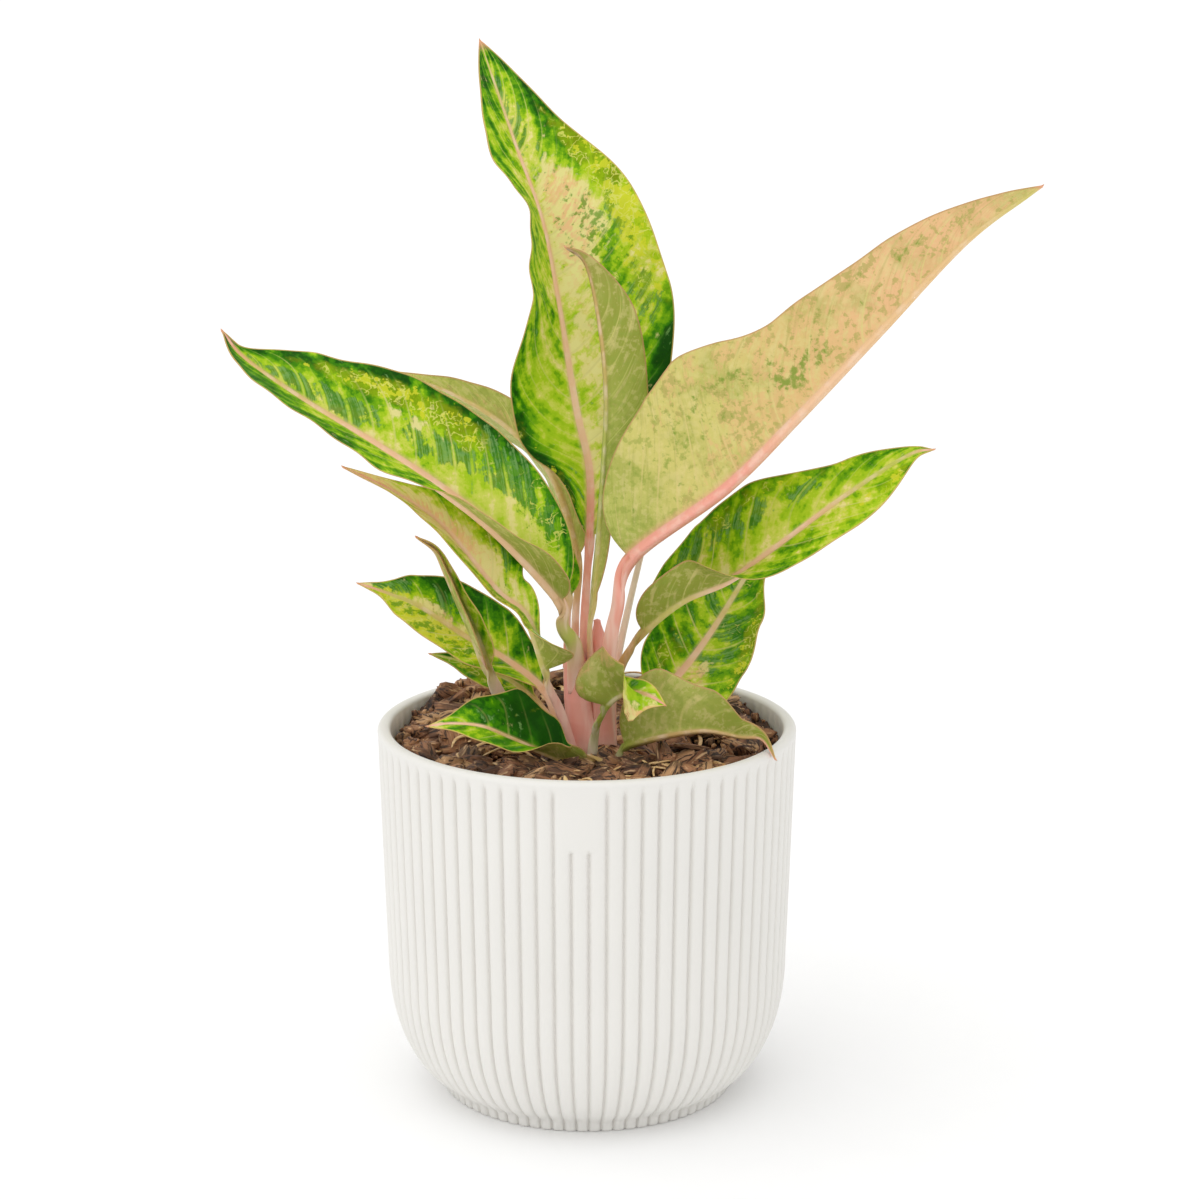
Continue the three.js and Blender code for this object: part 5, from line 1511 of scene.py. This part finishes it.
def buildCrumbs(random):
    # crumbs: a lumpy ball, radius * (sin, cos) of the angle from pole to pole, a little flattened
    count, rows, columns = mix["crumbs"], 4, 6
    t = ((np.arange(rows) + 0.5) / rows)[None, :, None]
    turn = evenTurn(columns)[None, None, :]
    radius = random.uniform(*mix["crumbRadius"], (count, 1, 1))
    radius = radius * random.uniform(0.7, 1.2, (count, rows, columns))
    ring = radius * np.sin(math.pi * t)
    rings = np.stack([ring * np.cos(turn), ring * np.sin(turn), -0.8 * radius * np.cos(math.pi * t)], -1)
    rings = turned(rings, random.uniform(0, 6, (count, 3)))
    rings = settle(random, rings, mix["crumbReach"], mix["crumbLift"])
    points, faces, each = manyShells(rings)
    marks = {"hue": hues(random, count, each), "grain": points * mm}
    piece = makePiece("mixCrumbs", points, faces, barkMaterial("crumb", 0.8), marks)
    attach(piece, "root")


def buildFibres(random):
    # straw and coir: thin flat strips that thin out to both ends, along an arc
    count, rows, columns = mix["fibres"], 9, 6
    t = np.linspace(-1, 1, rows)[None, :, None]
    turn = evenTurn(columns)[None, None, :]
    length = halfSizes(random, count, "fibreLength")
    width = halfSizes(random, count, "fibreWidth")
    bend = random.uniform(-mix["fibreBend"], mix["fibreBend"], (count, 1, 1))
    taper = 1 - 0.7 * np.abs(t) ** 3
    arc = length * (1 - t ** 2)
    across = width * taper * np.cos(turn) + 0.5 * bend * arc
    tall = mix["fibreThickness"] / 2 * taper * np.sin(turn) + 0.2 * np.abs(bend) * arc
    rings = np.stack([across, tall, (t + 0 * turn) * length], -1)
    rings = turned(rings, lying(random, count, 0.35, 0.3))
    rings = settle(random, rings, mix["fibreReach"], mix["fibreLift"])
    points, faces, each = manyShells(rings)
    piece = makePiece("strawFibres", points, faces, strawMaterial(), {"hue": hues(random, count, each)})
    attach(piece, "root")


def barkMaterial(name, roughness, shade=1.0):
    # brown by the piece's hue, some pieces pale, with dark clouds, furrows and pale ridges along the grain;
    # a shade under 1 darkens the whole stuff as painted shade, for the bed that shows between the chips
    material, tree, shader = newMaterial(name, roughness)
    hue, lightness, _ = parts(tree, markOf(tree, "hue"))
    cloud = noise(tree, objectPlace(tree), (80, 80, 80), 3, 0.55)
    ridge = noise(tree, markOf(tree, "grain"), (520, 520, 60), 3, 0.6, 0.6)
    body = blend(tree, hue, *(tint(*brown) for brown in mix["bark"]))
    body = blend(tree, step(tree, lightness, 0.7, 0.95, 0.0, 0.9), body, tint(*mix["paleBark"]))
    body = blend(tree, step(tree, cloud, 0.5, 0.6, 0.0, 0.7), body, tint(*mix["barkCloud"]))
    body = blend(tree, step(tree, ridge, 0.48, 0.4, 0.0, 0.9), body, tint(*mix["barkFurrow"]))
    body = blend(tree, step(tree, ridge, 0.58, 0.66, 0.0, 0.8), body, tint(*mix["barkRidge"]))
    # painted shade: a near-black mixed in by 1 - shade
    body = blend(tree, 1 - shade, body, tint(*mix["barkShade"]))
    plug(tree, shader.inputs["Base Color"], body)
    raised(tree, shader, calc(tree, "ADD", ridge, cloud), 0.0012, 0.9)
    return material


def strawMaterial():
    # straw yellow by the piece's hue, with fine pale lines
    material, tree, shader = newMaterial("straw", 0.6)
    hue = parts(tree, markOf(tree, "hue"))[0]
    lines = noise(tree, objectPlace(tree), (500, 500, 500), 3)
    body = blend(tree, hue, *(tint(*yellow) for yellow in mix["straw"]))
    body = blend(tree, step(tree, lines, 0.4, 0.7, 0.0, 0.6), body, tint(*mix["strawLine"]))
    plug(tree, shader.inputs["Base Color"], body)
    raised(tree, shader, lines, 0.0003, 0.6)
    return material


buildBed()
chance = np.random.default_rng(mix["seed"])
buildChips(chance)
buildCrumbs(chance)
buildFibres(chance)
print("potting mix made")
